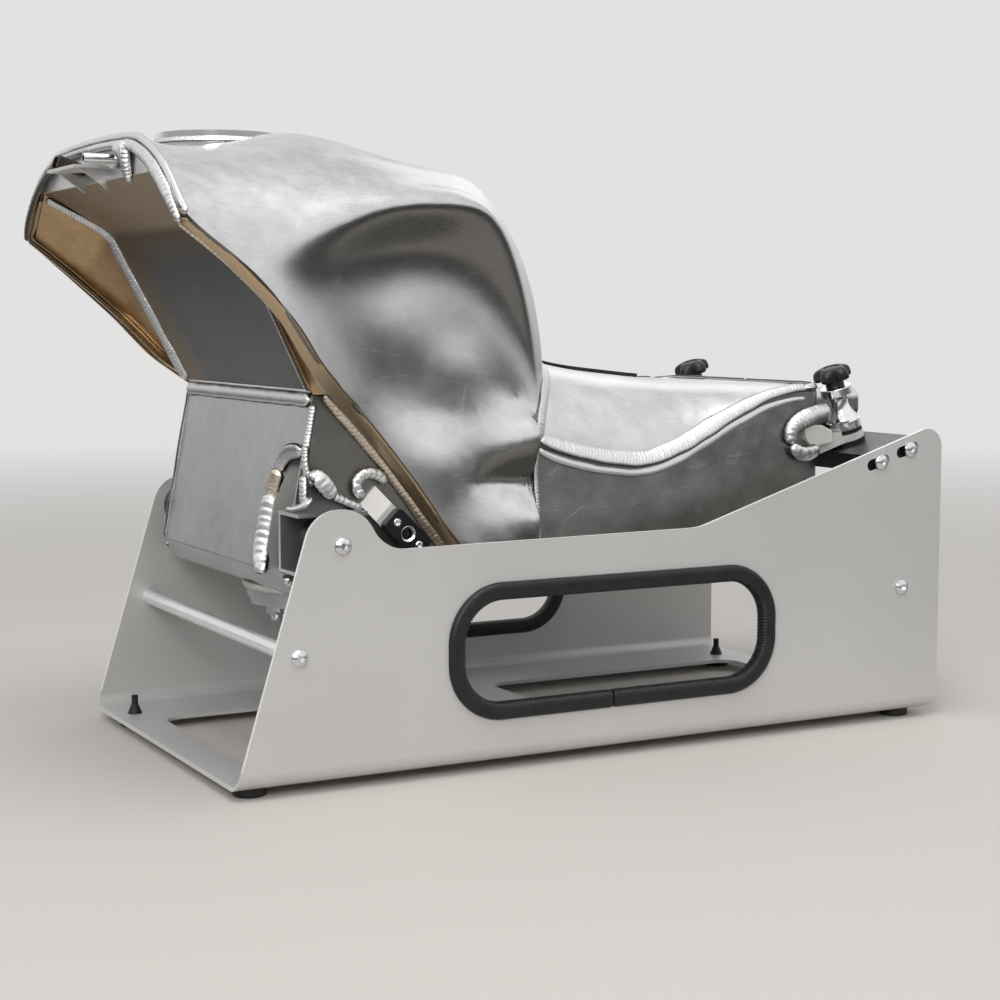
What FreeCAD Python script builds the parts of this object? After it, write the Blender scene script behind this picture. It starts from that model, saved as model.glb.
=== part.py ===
# Aluminium racing fuel tank resting in its folded bench stand.
# Millimetres, +Z up. The tank's front points towards -X and its left side towards -Y.
# Heights are first measured from the underside of the stand's tray, lengths from its front edge.

import FreeCAD, Part
import math
import os

V = FreeCAD.Vector
os.makedirs("parts", exist_ok=True)

# Clearances shared by every joint of the assembly
seat_gap = 0.03
weld_gap = 0.15
shaft_clearance = 0.05

# Stand sheet
stand_length = 523.5
stand_width = 280.8
stand_sheet = 2.5
stand_bend_outer = 10.0
hump_top = 162.5
hump_radius = 21.6
hump_front_x = 49.7
hump_rear_x = 81.7
dip_x = 94.4
dip_height = 136.9
dip_radius = 24.0
slope_start_x = 320.5
slope_start_height = 138.6
slope_start_radius = 40.0
rear_top_radius = 13.0
rear_foot_radius = 7.0

# Handle openings in the stand's sides and the edge trim that lines them
handle_front_x = 143.5
handle_rear_x = 375.5
handle_bottom = 32.6
handle_top = 106.8
handle_radius = 31.0
trim_outer_lap = 6.2
trim_inner_bulb = 5.5
trim_wall = 4.0
trim_round = 1.6

# Openings in the stand's tray
tray_front_x = 26.6
tray_middle_x = 245.0
tray_second_x = 279.0
tray_rear_setback = 26.5
tray_half_width = 75.5
tray_radius = 15.0

# Button-head screws of the stand
screw_radius = 2.98
screw_hole_radius = 3.3
screw_head_radius = 5.25
screw_head_height = 3.3
screw_grip = 14.0
screw_bore_depth = 16.0
screw_socket_flats = 4.0
screw_socket_depth = 2.0

# Cross rods between the stand's sides
rod_radius = 5.0
front_rod_x = 39.6
front_rod_height = 76.6
rear_rod_setback = 33.9
rear_rod_height = 88.2

# Support bosses that carry the tank's front
boss_x = 67.8
boss_height = 141.0
boss_radius = 16.0
boss_end_gap = 12.0

# Rubber feet pulled through the tray
foot_height = 6.0
foot_radius = 10.0
foot_front_x = 15.2
foot_rear_setback = 22.6
foot_far_y = 98.0
foot_near_y = 121.0
foot_nipple_radius = 2.2
foot_nipple_height = 6.0
foot_stem_radius = 3.4
foot_hole_radius = 3.5
foot_bulge_radius = 5.0
foot_tip_radius = 2.4
foot_cone_height = 6.5

# Rear crossbar and the tilted posts above it
post_tilt = 17.4
post_x = 481.5
post_rise = 2.35
post_half_spacing = 88.2
bar_width = 42.0
bar_thickness = 12.5
bar_screw_offset = -2.4
bar_screw_spacing = 26.6
slot_length = 20.0
slot_width = 8.0
slot_angle = 15.0
slot_lead = 2.0
post_thread_radius = 4.0
stud_bite = 2.4

# Post stack, from the crossbar up
pad_thickness = 2.6
pad_radius = 12.0
lug_thickness = 5.0
lug_radius = 12.0
lug_bore_radius = 5.0
lug_arm_width = 17.0
lug_arm_thickness = 9.0
lug_arm_reach = 34.0
grommet_thickness = 3.0
grommet_radius = 11.6
bell_base_radius = 12.0
bell_base_height = 5.5
bell_neck_radius = 6.2
bell_height = 24.4
collar_radius = 11.25
collar_height = 6.0
knob_stem_radius = 6.8
knob_stem_height = 3.6
knob_radius = 14.0
knob_height = 11.0
knob_lobes = 6
knob_scallop_radius = 4.6
stud_seat_depth = 8.0

# Tank sheet and main heights
skin = 1.8
floor_height = 108.0
floor_sheet = 2.0
lip_sheet = 2.0
crown_front_x = -34.0
forehead_base = 357.5
forehead_half_width = 129.0

# Airbox recess
ceiling_bend_x = 10.0
ceiling_bend_drop = 25.5
ceiling_foot_x = 62.8
ceiling_foot_height = 229.0
ceiling_foot_half_width = 109.9
ceiling_bend_radius = 15.0
airbox_sheet = 2.0

# Sump box under the recess
sump_half_width = 109.8
sump_sheet = 2.0
sump_nose_x = 42.4
sump_nose_height = 121.0
sump_toe_x = 49.0
sump_rear_x = 173.0
sump_top_rear_x = 87.0

# Corner pockets of the sump and the channels that sit over the support bosses
pocket_front_y = 72.0
pocket_rear_y = 93.0
pocket_depth_x = 94.0
pocket_base = 120.0
pocket_top_drop = 28.0
pocket_rear_top_drop = 43.0
pocket_sheet = 2.0
channel_gap = 0.3
channel_wall = 2.2
channel_web_y = 100.0
channel_web = 3.0
channel_side_gap = 9.9
channel_front_x = 45.0
channel_rear_x = 90.0
side_channel_front_x = 60.0
side_channel_web = 1.9

# Fairing tabs on the sump's sides
tab_sheet = 2.0
tab_width = 15.0
tab_foot_x = 97.0
tab_foot_height = 167.5
tab_bend_x = 106.0
tab_bend_height = 157.0
tab_stand_off = 4.0
tab_length = 36.0
tab_angle = 45.0
block_length = 31.0
block_width = 16.0
block_thickness = 6.5
block_start = 3.5
block_bore_radius = 3.4
block_sink_radius = 4.6
block_sink_depth = 1.2
rivet_radius = 1.55
rivet_head_radius = 2.7
rivet_head_height = 0.9
rivet_spacing = 20.6

# Pump opening under the sump
pump_x = 105.0
pump_y = -40.0
pump_ring_radius = 55.0
pump_ring_bore = 42.0
pump_ring_height = 9.5
pump_plate_radius = 53.0
pump_plate_thickness = 4.0
pump_screw_circle = 48.0
pump_screw_count = 8
pump_screw_radius = 2.5
pump_head_radius = 4.25
pump_head_height = 2.8
outlet_offset_x = -38.0
outlet_hex = 14.0
outlet_height = 11.0
outlet_bore_radius = 3.0

# Filler in the crown
filler_x = 46.0
filler_hole_radius = 40.0
filler_top = 389.5
filler_wall = 2.5
filler_depth = 30.0
filler_ledge = 6.0
filler_ledge_depth = 11.0
cap_gap = 0.5
cap_thickness = 8.0
seal_thickness = 2.0
cap_recess_radius = 24.0
cap_recess_depth = 3.5
cap_grip_width = 7.0

# Rear cell
cell_front_x = 219.6
cell_rear_x = 457.0
cell_front_half = 101.5
cell_rear_half = 98.0
cell_corner_radius = 20.0
baffle_x = 300.0
baffle_sheet = 1.5
baffle_top = 174.0
baffle_hole_radius = 17.0
baffle_hole_spacing = 44.0
foam_start_x = 268.0
foam_end_x = 350.0
foam_thickness = 2.5

# Tail nose behind the rear cell
nose_end_x = 518.0
nose_half_width = 62.0
nose_top = 225.5
nose_clearance = 4.0
nose_round = 10.0

# Fittings on the forehead
shelf_height = 364.0
shelf_sheet = 2.0
shelf_reach = 22.0
shelf_half_width = 30.0
gusset_sheet = 2.0
gusset_drop = 12.0
gusset_reach = 17.0
gusset_spacing = 47.0
tall_gusset_y = -70.0
tall_gusset_reach = 12.0
tall_gusset_base = 352.0
tall_gusset_height = 27.0
tall_gusset_droop = 3.0
breather_y = -46.0
breather_height = 368.5
breather_radius = 3.0
breather_bore = 2.2
breather_reach = 21.0
clip_y = 22.0
clip_length = 22.0
clip_width = 14.0
clip_height = 9.0
clip_wall = 1.8

# Free-formed shell: each line runs from the front rim to the rear seam as (x, half width, z),
# the first line along the bottom edge and the last along the crown's centre
shell_lines = [
    [(173, 121, 108), (180, 120, 108), (187, 118.5, 108), (194, 116, 108),
     (200, 113.5, 108), (208, 110, 108), (214, 107.5, 108), (218, 105.5, 108)],
    [(154, 121.5, 135), (165, 120.5, 135), (176, 118.5, 135), (187, 116.5, 135),
     (198, 113.5, 135), (208, 110, 135), (214, 107.5, 135), (218, 105.5, 135)],
    [(140, 122, 153), (152, 120, 153), (164, 118, 152), (177, 115, 151),
     (190, 112, 150), (203, 109, 150), (212, 106, 150), (218, 104, 150)],
    [(126.5, 122, 171), (142, 119.5, 171), (157, 116, 171), (173, 110.5, 171),
     (188, 105.5, 171), (202, 102.5, 170.5), (211, 101, 170), (218, 100.5, 170)],
    [(106.5, 123, 196), (124, 119.5, 197), (142, 116, 196), (160, 112, 195),
     (178, 109, 194), (194, 107.5, 195), (206, 106.5, 197), (218, 104, 199)],
    [(83, 129.5, 221), (98, 121.5, 225), (114, 115.5, 229), (134, 111, 231),
     (156, 107.5, 231), (178, 104, 228), (198, 101.5, 222), (221, 101.5, 206)],
    [(48.5, 153.5, 250), (65, 138, 260), (84, 125.5, 270), (110, 114, 280),
     (142, 106, 283), (172, 101, 278), (197, 98.5, 256), (225, 97, 213)],
    [(26, 165, 276.5), (42, 151, 287), (65, 137, 301), (100, 120.5, 314),
     (140, 109, 319), (174, 103, 312), (199, 98.5, 288), (229, 92, 219)],
    [(-5, 170, 307), (16, 161, 311), (49, 150.5, 322), (98, 138, 337),
     (142, 127, 341.5), (180, 115, 337), (204, 104.5, 308), (233, 86, 225.5)],
    [(-33.4, 165.4, 331.4), (2, 153, 334), (48, 141.5, 340), (100, 131, 348),
     (146, 119, 351), (184, 105, 343), (210, 95, 313), (238, 79, 231)],
    [(-34, 138, 356), (2, 131, 356), (52, 124, 357), (104, 115, 358),
     (152, 102, 356), (190, 90, 347), (217, 83, 318), (243, 70, 236.5)],
    [(-34, 117, 368), (4, 109, 367.5), (56, 101, 372), (108, 94, 370),
     (157, 83, 364), (196, 73, 354), (223, 67, 323), (249.5, 57, 241)],
    [(-34, 80, 380), (8, 74, 375.5), (60, 66, 382.5), (110, 60, 379),
     (160, 55, 371), (203, 48, 361), (231, 44, 327), (256, 38, 244.5)],
    [(-34, 40, 382), (10, 38, 378), (60, 34, 385.5), (110, 30, 381),
     (160, 28, 373), (206, 25, 363), (236, 22, 329), (260, 18, 245.8)],
    [(-34, 0, 382.5), (10, 0, 379), (60, 0, 386), (110, 0, 381.5),
     (160, 0, 373.5), (207, 0, 364), (238, 0, 330), (262, 0, 246)],
]
rim_corner_line = 9
seam_line_index = 4
recess_foot_line = 5.28

# Inner edge of the rim lip beside the shell lines, from the bottom up to the forehead
lip_edge = [
    (173, 110.1, 108), (154, 110.1, 135), (140, 110.1, 153), (126.5, 110.1, 171), (106.5, 110.3, 196),
    (83.5, 112.5, 221), (50.5, 141.5, 251), (28.5, 154.5, 276.5), (-3, 160, 305),
    (-33.4, 158, 328.5), (-34, 132, 352.5),
]

# Heights of the saddle over the rear cell, along its edge and along its centre
saddle_edge = [(218, 199), (250, 189), (285, 182.5), (313, 183), (335, 190), (370, 207),
               (405, 221), (425, 225), (457, 225)]
saddle_crest = [(218, 246), (262, 246), (285, 240), (320, 235.5), (352, 232), (395, 230), (457, 227)]


# Shape helpers

def side_point(p):
    return V(p.x, 0, p.y)


def plan_point(p):
    return V(p.x, p.y, 0)


def corner_wire(corners, place):
    """Closed wire through (a, b, radius) corners, each corner rounded by its radius."""
    arcs = []
    for i, (a, b, radius) in enumerate(corners):
        here = V(a, b, 0)
        before = V(corners[i - 1][0], corners[i - 1][1], 0)
        after = V(corners[(i + 1) % len(corners)][0], corners[(i + 1) % len(corners)][1], 0)
        if radius <= 0:
            arcs.append((here, None, here))
            continue
        back = (before - here).normalize()
        ahead = (after - here).normalize()
        half = back.getAngle(ahead) / 2
        reach = radius / math.tan(half)
        middle = here + (back + ahead).normalize() * (radius / math.sin(half) - radius)
        arcs.append((here + back * reach, middle, here + ahead * reach))
    edges = []
    for i, (start, middle, end) in enumerate(arcs):
        if middle is not None:
            edges.append(Part.Arc(place(start), place(middle), place(end)).toShape())
        following = arcs[(i + 1) % len(arcs)][0]
        if (following - end).Length > 0.001:
            edges.append(Part.makeLine(place(end), place(following)))
    return Part.Wire(edges)


def side_prism(corners, y_start, y_end):
    """Profile drawn in side view and extruded across the width."""
    face = Part.Face(corner_wire(corners, side_point))
    face.translate(V(0, y_start, 0))
    return face.extrude(V(0, y_end - y_start, 0))


def plan_prism(corners, z_start, z_end):
    """Profile drawn in plan view and extruded upwards."""
    face = Part.Face(corner_wire(corners, plan_point))
    face.translate(V(0, 0, z_start))
    return face.extrude(V(0, 0, z_end - z_start))


def rounded_box(a_start, a_end, b_start, b_end, radius):
    return [(a_start, b_start, radius), (a_end, b_start, radius), (a_end, b_end, radius), (a_start, b_end, radius)]


def rod(radius, start, end):
    return Part.makeCylinder(radius, (end - start).Length, start, end - start)


def ring(outer, inner, z_start, z_end):
    body = Part.makeCylinder(outer, z_end - z_start, V(0, 0, z_start))
    return body.cut(Part.makeCylinder(inner, z_end - z_start + 2, V(0, 0, z_start - 1)))


def hexagon(across_flats, z_start, z_end):
    corner = across_flats / math.sqrt(3)
    points = [V(corner * math.cos(math.radians(60 * k)), corner * math.sin(math.radians(60 * k)), z_start)
              for k in range(7)]
    return Part.Face(Part.makePolygon(points)).extrude(V(0, 0, z_end - z_start))


def closed_solid(faces):
    """Solid enclosed by faces that share their borders."""
    skin_shape = Part.makeCompound(faces)
    skin_shape.sewShape()
    solid = Part.makeSolid(skin_shape.Shells[0])
    if solid.Volume < 0:
        solid.reverse()
    return solid


def mirrored(shape):
    return shape.mirror(V(0, 0, 0), V(0, 1, 0))


def value_along(table, x):
    """Height read from a table of (x, height) pairs."""
    for (x0, z0), (x1, z1) in zip(table, table[1:]):
        if x <= x1:
            return z0 + (z1 - z0) * max(0, x - x0) / (x1 - x0)
    return table[-1][1]


def mean_parameters(lines):
    """Shared parameters from 0 to 1, from the mean spacing of the points of several lines."""
    totals = [0.0] * len(lines[0])
    for line in lines:
        steps = [0.0]
        for a, b in zip(line, line[1:]):
            steps.append(steps[-1] + (b - a).Length)
        for k, step in enumerate(steps):
            totals[k] += step / steps[-1] / len(lines)
    totals[0] = 0.0
    totals[-1] = 1.0
    return totals


def spline_through(points, parameters):
    curve = Part.BSplineCurve()
    curve.interpolate(Points=list(points), Parameters=list(parameters))
    return curve


def grid_surface(lines, along, across):
    """Smooth surface through a grid of points."""
    curves = [spline_through(line, along) for line in lines]
    columns = [spline_through([curve.getPole(k + 1) for curve in curves], across)
               for k in range(curves[0].NbPoles)]
    surface = Part.BSplineSurface()
    surface.buildFromPolesMultsKnots([column.getPoles() for column in columns],
                                     curves[0].getMultiplicities(), columns[0].getMultiplicities(),
                                     curves[0].getKnots(), columns[0].getKnots(), False, False, 3, 3)
    return surface


def sheet_between(outer, inner):
    """Solid sheet between two surfaces with the same parameters."""
    faces = [outer.toShape(), inner.toShape()]
    for limit in (0.0, 1.0):
        faces.append(Part.makeRuledSurface(outer.uIso(limit).toShape(), inner.uIso(limit).toShape()))
        faces.append(Part.makeRuledSurface(outer.vIso(limit).toShape(), inner.vIso(limit).toShape()))
    return closed_solid(faces)


def formed_sheet(lines, thickness, up_sign=1):
    """Outer surface through the lines, inner surface one thickness below it, and the solid between."""
    along = mean_parameters(lines)
    across = mean_parameters(list(zip(*lines)))
    outer = grid_surface(lines, along, across)
    middle = outer.normal(0.5, 0.5)
    sign = 1 if middle.z > 0 else -1
    inner_lines = []
    for v, line in zip(across, lines):
        inner_lines.append([point - outer.normal(u, v) * (sign * thickness) for u, point in zip(along, line)])
    inner = grid_surface(inner_lines, along, across)
    return outer, inner, across, sheet_between(outer, inner)


def bar_between(curves):
    """Solid with four long edges given as curves and ruled faces between them."""
    edges = [curve.toShape() for curve in curves]
    faces = []
    for k in range(4):
        faces.append(Part.makeRuledSurface(edges[k], edges[(k + 1) % 4]))
    for end in (0, 1):
        tips = []
        for curve in curves:
            tips.append(curve.value(curve.FirstParameter if end == 0 else curve.LastParameter))
        faces.append(Part.makeRuledSurface(Part.makeLine(tips[0], tips[1]), Part.makeLine(tips[3], tips[2])))
    return closed_solid(faces)


def block_between(front, rear):
    """Solid between two four-cornered sections."""
    return bar_between([Part.LineSegment(a, b) for a, b in zip(front, rear)])


def button_screw(head_seat, direction, shank):
    """Button-head screw whose head rests at head_seat and whose shank runs along direction."""
    body = Part.makeCylinder(screw_head_radius, screw_head_height * 0.35)
    dome = Part.makeSphere(screw_head_radius * 1.35)
    dome.translate(V(0, 0, -(screw_head_radius * 1.35) + screw_head_height))
    cap = Part.makeCylinder(screw_head_radius, screw_head_height).common(dome)
    screw = body.fuse(cap)
    screw = screw.cut(hexagon(screw_socket_flats, screw_head_height - screw_socket_depth, screw_head_height + 1))
    screw = screw.fuse(Part.makeCylinder(screw_radius, shank, V(0, 0, -shank)))
    screw = screw.removeSplitter()
    turn = FreeCAD.Rotation(V(0, 0, -1), direction)
    screw.Placement = FreeCAD.Placement(head_seat, turn)
    return screw


pieces = {}
ceiling_bend_height = forehead_base - ceiling_bend_drop
tall_gusset_top = tall_gusset_base + tall_gusset_height

# Stand sheet: one folded U, then its side outline, openings, slots and holes
half_width = stand_width / 2
inner_half = half_width - stand_sheet
slope_end_height = slope_start_height + (stand_length - slope_start_x) * math.tan(math.radians(post_tilt))
rear_rod_x = stand_length - rear_rod_setback
foot_rear_x = stand_length - foot_rear_setback
tray_rear_x = stand_length - tray_rear_setback
post_height = post_rise + slope_start_height + (post_x - slope_start_x) * math.tan(math.radians(post_tilt))
trough = Part.makeBox(stand_length, stand_width, slope_end_height + 10, V(0, -half_width, 0))
bend_edges = [edge for edge in trough.Edges
              if abs(edge.BoundBox.ZMax) < 0.001 and edge.BoundBox.XLength > stand_length / 2]
trough = trough.makeFillet(stand_bend_outer, bend_edges)
hollow = Part.makeBox(stand_length + 2, 2 * inner_half, slope_end_height + 20, V(-1, -inner_half, stand_sheet))
bend_edges = [edge for edge in hollow.Edges
              if abs(edge.BoundBox.ZMax - stand_sheet) < 0.001 and edge.BoundBox.XLength > stand_length / 2]
hollow = hollow.makeFillet(stand_bend_outer - stand_sheet, bend_edges)
stand_outline = [
    (0, 0, 0), (hump_front_x, hump_top, hump_radius * 0.99), (hump_rear_x, hump_top, hump_radius),
    (dip_x, dip_height, dip_radius), (slope_start_x, slope_start_height, slope_start_radius),
    (stand_length, slope_end_height, rear_top_radius), (stand_length, 0, rear_foot_radius),
]
stand = trough.cut(hollow).common(side_prism(stand_outline, -half_width - 1, half_width + 1))
handle_hole = rounded_box(handle_front_x, handle_rear_x, handle_bottom, handle_top, handle_radius)
stand = stand.cut(side_prism(handle_hole, -half_width - 1, half_width + 1))
for start_x, end_x in ((tray_front_x, tray_middle_x), (tray_second_x, tray_rear_x)):
    opening = rounded_box(start_x, end_x, -tray_half_width, tray_half_width, tray_radius)
    stand = stand.cut(plan_prism(opening, -1, stand_sheet + 1))
foot_places = [(x, y) for x in (foot_front_x, foot_rear_x) for y in (-foot_near_y, foot_far_y)]
for x, y in foot_places:
    stand = stand.cut(Part.makeCylinder(foot_hole_radius, stand_sheet + 2, V(x, y, -1)))
for x, z in ((front_rod_x, front_rod_height), (rear_rod_x, rear_rod_height), (boss_x, boss_height)):
    stand = stand.cut(rod(screw_hole_radius, V(x, -half_width - 1, z), V(x, half_width + 1, z)))

# Frame of the tilted posts: local z runs up the post, local x up the slope
tilt = math.radians(post_tilt)
slope_direction = V(math.cos(tilt), 0, math.sin(tilt))
post_direction = V(-math.sin(tilt), 0, math.cos(tilt))
post_turn = FreeCAD.Rotation(V(0, 1, 0), -post_tilt)


def on_post(shape, side):
    placed = shape.copy()
    placed.Placement = FreeCAD.Placement(V(post_x, side * post_half_spacing, post_height), post_turn)
    return placed


def post_spot(along_slope, up_post, y):
    return V(post_x, 0, post_height) + slope_direction * along_slope + post_direction * up_post + V(0, y, 0)


bar_top = -lug_thickness / 2 - pad_thickness - 2 * seat_gap
bar_middle = bar_top - bar_thickness / 2
bar_screw_places = [post_spot(bar_screw_offset + step * bar_screw_spacing / 2, bar_middle, 0) for step in (-1, 1)]
slot_way = V(math.cos(math.radians(slot_angle)), 0, math.sin(math.radians(slot_angle)))
for place in bar_screw_places:
    centre = place - slot_way * slot_lead
    reach = (slot_length - slot_width) / 2
    for side in (-1, 1):
        wall_start = side * (inner_half + stand_sheet / 2) - stand_sheet
        ends = [centre + slot_way * (reach * step) + V(0, wall_start, 0) for step in (-1, 1)]
        slot = Part.makeCylinder(slot_width / 2, 2 * stand_sheet, ends[0], V(0, 1, 0))
        slot = slot.fuse(Part.makeCylinder(slot_width / 2, 2 * stand_sheet, ends[1], V(0, 1, 0)))
        middle = Part.makeBox(2 * reach, 2 * stand_sheet, slot_width, V(-reach, 0, -slot_width / 2))
        middle.Placement = FreeCAD.Placement(centre + V(0, wall_start, 0),
                                             FreeCAD.Rotation(V(0, 1, 0), -slot_angle)).multiply(middle.Placement)
        stand = stand.cut(slot.fuse(middle))
pieces["stand_body"] = stand

# Edge trim pushed over the rim of each handle opening
def handle_loop(grow):
    return rounded_box(handle_front_x - grow, handle_rear_x + grow, handle_bottom - grow,
                       handle_top + grow, handle_radius + grow)


trim_start = inner_half - trim_wall
trim_end = half_width + trim_wall
trim = side_prism(handle_loop(trim_outer_lap), trim_start, trim_end)
trim = trim.cut(side_prism(handle_loop(-trim_inner_bulb), trim_start - 1, trim_end + 1))
trim = trim.makeFillet(trim_round, [edge for edge in trim.Edges if edge.BoundBox.YLength < 0.001])
groove = side_prism(handle_loop(trim_outer_lap + 1), inner_half - seat_gap, half_width + seat_gap)
groove = groove.cut(side_prism(handle_loop(-seat_gap), inner_half - 1, half_width + 1))
trim = trim.cut(groove)
pieces["handle_trim_right"] = trim
pieces["handle_trim_left"] = mirrored(trim)

# Cross rods and support bosses, each tapped at its ends, with their button-head screws
rod_length = 2 * (inner_half - seat_gap)
rod_screws = []
for name, x, z in (("front_cross_rod", front_rod_x, front_rod_height),
                   ("rear_cross_rod", rear_rod_x, rear_rod_height)):
    bar = rod(rod_radius, V(x, -rod_length / 2, z), V(x, rod_length / 2, z))
    for side in (-1, 1):
        face = V(x, side * rod_length / 2, z)
        bar = bar.cut(rod(screw_radius + shaft_clearance, face + V(0, side, 0), face - V(0, side * screw_bore_depth, 0)))
        rod_screws.append(button_screw(V(x, side * (half_width + seat_gap), z), V(0, -side, 0),
                                       stand_sheet + screw_grip))
    pieces[name] = bar
pieces["cross_rod_screws"] = Part.makeCompound(rod_screws)

boss_screws = []
for name, side in (("support_boss_left", -1), ("support_boss_right", 1)):
    outer_face = V(boss_x, side * (inner_half - seat_gap), boss_height)
    inner_face = V(boss_x, side * (channel_web_y + boss_end_gap), boss_height)
    boss = rod(boss_radius, inner_face, outer_face)
    boss = boss.cut(rod(screw_radius + shaft_clearance, outer_face + V(0, side, 0),
                        outer_face - V(0, side * screw_bore_depth, 0)))
    pieces[name] = boss
    boss_screws.append(button_screw(V(boss_x, side * (half_width + seat_gap), boss_height), V(0, -side, 0),
                                    stand_sheet + screw_grip))
pieces["support_boss_screws"] = Part.makeCompound(boss_screws)

# Rear crossbar, tapped at both ends and under each post
bar = Part.makeBox(bar_width, rod_length, bar_thickness, V(-bar_width / 2, -rod_length / 2, -bar_thickness / 2))
bar.Placement = FreeCAD.Placement(post_spot(0, bar_middle, 0), post_turn).multiply(bar.Placement)
bar_screws = []
for place in bar_screw_places:
    for side in (-1, 1):
        face = place + V(0, side * rod_length / 2, 0)
        bar = bar.cut(rod(screw_radius + shaft_clearance, face + V(0, side, 0), face - V(0, side * screw_bore_depth, 0)))
        bar_screws.append(button_screw(place + V(0, side * (half_width + seat_gap), 0), V(0, -side, 0),
                                       stand_sheet + screw_grip))
for side in (-1, 1):
    through = Part.makeCylinder(post_thread_radius, bar_thickness + 2, V(0, 0, bar_top - bar_thickness - 1))
    bar = bar.cut(on_post(through, side))
pieces["rear_crossbar"] = bar
pieces["crossbar_screws"] = Part.makeCompound(bar_screws)

# Rubber feet pulled through the tray
feet = []
for x, y in foot_places:
    foot = Part.makeCylinder(foot_radius, foot_height - seat_gap, V(0, 0, -foot_height))
    foot = foot.makeFillet(1.2, [edge for edge in foot.Edges if abs(edge.BoundBox.ZMax + foot_height) < 0.001])
    foot = foot.fuse(Part.makeCylinder(foot_stem_radius, stand_sheet + 2, V(0, 0, -1)))
    foot = foot.fuse(Part.makeCone(foot_bulge_radius, foot_tip_radius, foot_cone_height, V(0, 0, stand_sheet + seat_gap)))
    nipple_base = stand_sheet + seat_gap + foot_cone_height
    foot = foot.fuse(Part.makeCylinder(foot_nipple_radius, foot_nipple_height, V(0, 0, nipple_base)))
    foot = foot.removeSplitter()
    foot.translate(V(x, y, 0))
    feet.append(foot)
pieces["rubber_feet"] = Part.makeCompound(feet)

# Upper shell, formed by hand from sheet
def shell_point(entry, side):
    return V(entry[0], side * entry[1], entry[2])


left_lines = [[shell_point(entry, -1) for entry in line] for line in shell_lines]
right_lines = [[shell_point(entry, 1) for entry in line] for line in reversed(shell_lines[:-1])]
shell_outer, shell_inner, line_parameters, shell = formed_sheet(left_lines + right_lines, skin)
filler_cut = Part.makeCylinder(filler_hole_radius, 2 * filler_depth, V(filler_x, 0, filler_top - filler_depth))
pieces["tank_shell"] = shell.cut(filler_cut)


def line_parameter(index):
    """Parameter across the shell at a shell line, with fractions between lines."""
    low = int(math.floor(index))
    high = min(low + 1, len(line_parameters) - 1)
    return line_parameters[low] + (line_parameters[high] - line_parameters[low]) * (index - low)


def rim_inside(index, inset):
    """Point just inside the shell's front rim and the way the wall runs from there, left side."""
    v = line_parameter(index)
    point = shell_inner.value(0, v)
    wall = shell_inner.value(0.004, v) - point
    outward = shell_outer.value(0, v) - point
    return point - outward.normalize() * inset, wall.normalize()


# Rim lip: the narrow turned-in border of the shell's front rim
lip_indices = [k * 0.25 for k in range(0, 4 * (len(lip_edge) - 1) + 1)]
lip_outer = []
lip_outer_back = []
lip_inner = []
for index in lip_indices:
    point, wall = rim_inside(index, 2 * weld_gap)
    lip_outer.append(point)
    lip_outer_back.append(point + wall * lip_sheet)
    low = min(int(math.floor(index)), len(lip_edge) - 2)
    a = shell_point(lip_edge[low], -1)
    b = shell_point(lip_edge[low + 1], -1)
    lip_inner.append(a + (b - a) * (index - low))
lip_spacing = mean_parameters([lip_outer, lip_inner])
lip_back = V(lip_sheet, 0, 0)
lip = bar_between([
    spline_through(lip_outer, lip_spacing), spline_through(lip_inner, lip_spacing),
    spline_through([point + lip_back for point in lip_inner], lip_spacing),
    spline_through(lip_outer_back, lip_spacing),
])
pieces["rim_lip_left"] = lip
pieces["rim_lip_right"] = mirrored(lip)

# Airbox ceiling: one bent sheet that narrows towards its foot
ceiling_front_x = crown_front_x + lip_sheet + seat_gap
fall = V(ceiling_foot_x - ceiling_bend_x, 0, ceiling_foot_height - ceiling_bend_height).normalize()
rise = V(ceiling_bend_x - ceiling_front_x, 0, ceiling_bend_height - forehead_base).normalize()
fall_up = V(-fall.z, 0, fall.x) * airbox_sheet
rise_up = V(-rise.z, 0, rise.x) * airbox_sheet
bend_turn = rise.getAngle(fall)
bend_up = (fall_up + rise_up).normalize() * (airbox_sheet / math.cos(bend_turn / 2))
ceiling_profile = [
    (ceiling_front_x, forehead_base, 0), (ceiling_bend_x, ceiling_bend_height, ceiling_bend_radius),
    (ceiling_foot_x, ceiling_foot_height, 0),
    (ceiling_foot_x + fall_up.x, ceiling_foot_height + fall_up.z, 0),
    (ceiling_bend_x + bend_up.x, ceiling_bend_height + bend_up.z, ceiling_bend_radius + airbox_sheet),
    (ceiling_front_x + rise_up.x, forehead_base + rise_up.z, 0),
]


def ceiling_half(x):
    share = (x - crown_front_x) / (ceiling_foot_x - crown_front_x)
    return forehead_half_width + (ceiling_foot_half_width - forehead_half_width) * share


ceiling = side_prism(ceiling_profile, -forehead_half_width - 5, forehead_half_width + 5)
ceiling_plan = [
    (crown_front_x - 5, -ceiling_half(crown_front_x - 5), 0), (ceiling_foot_x + 5, -ceiling_half(ceiling_foot_x + 5), 0),
    (ceiling_foot_x + 5, ceiling_half(ceiling_foot_x + 5), 0), (crown_front_x - 5, ceiling_half(crown_front_x - 5), 0),
]
pieces["airbox_ceiling"] = ceiling.common(plan_prism(ceiling_plan, ceiling_foot_height - 10, forehead_base + 10))

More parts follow.
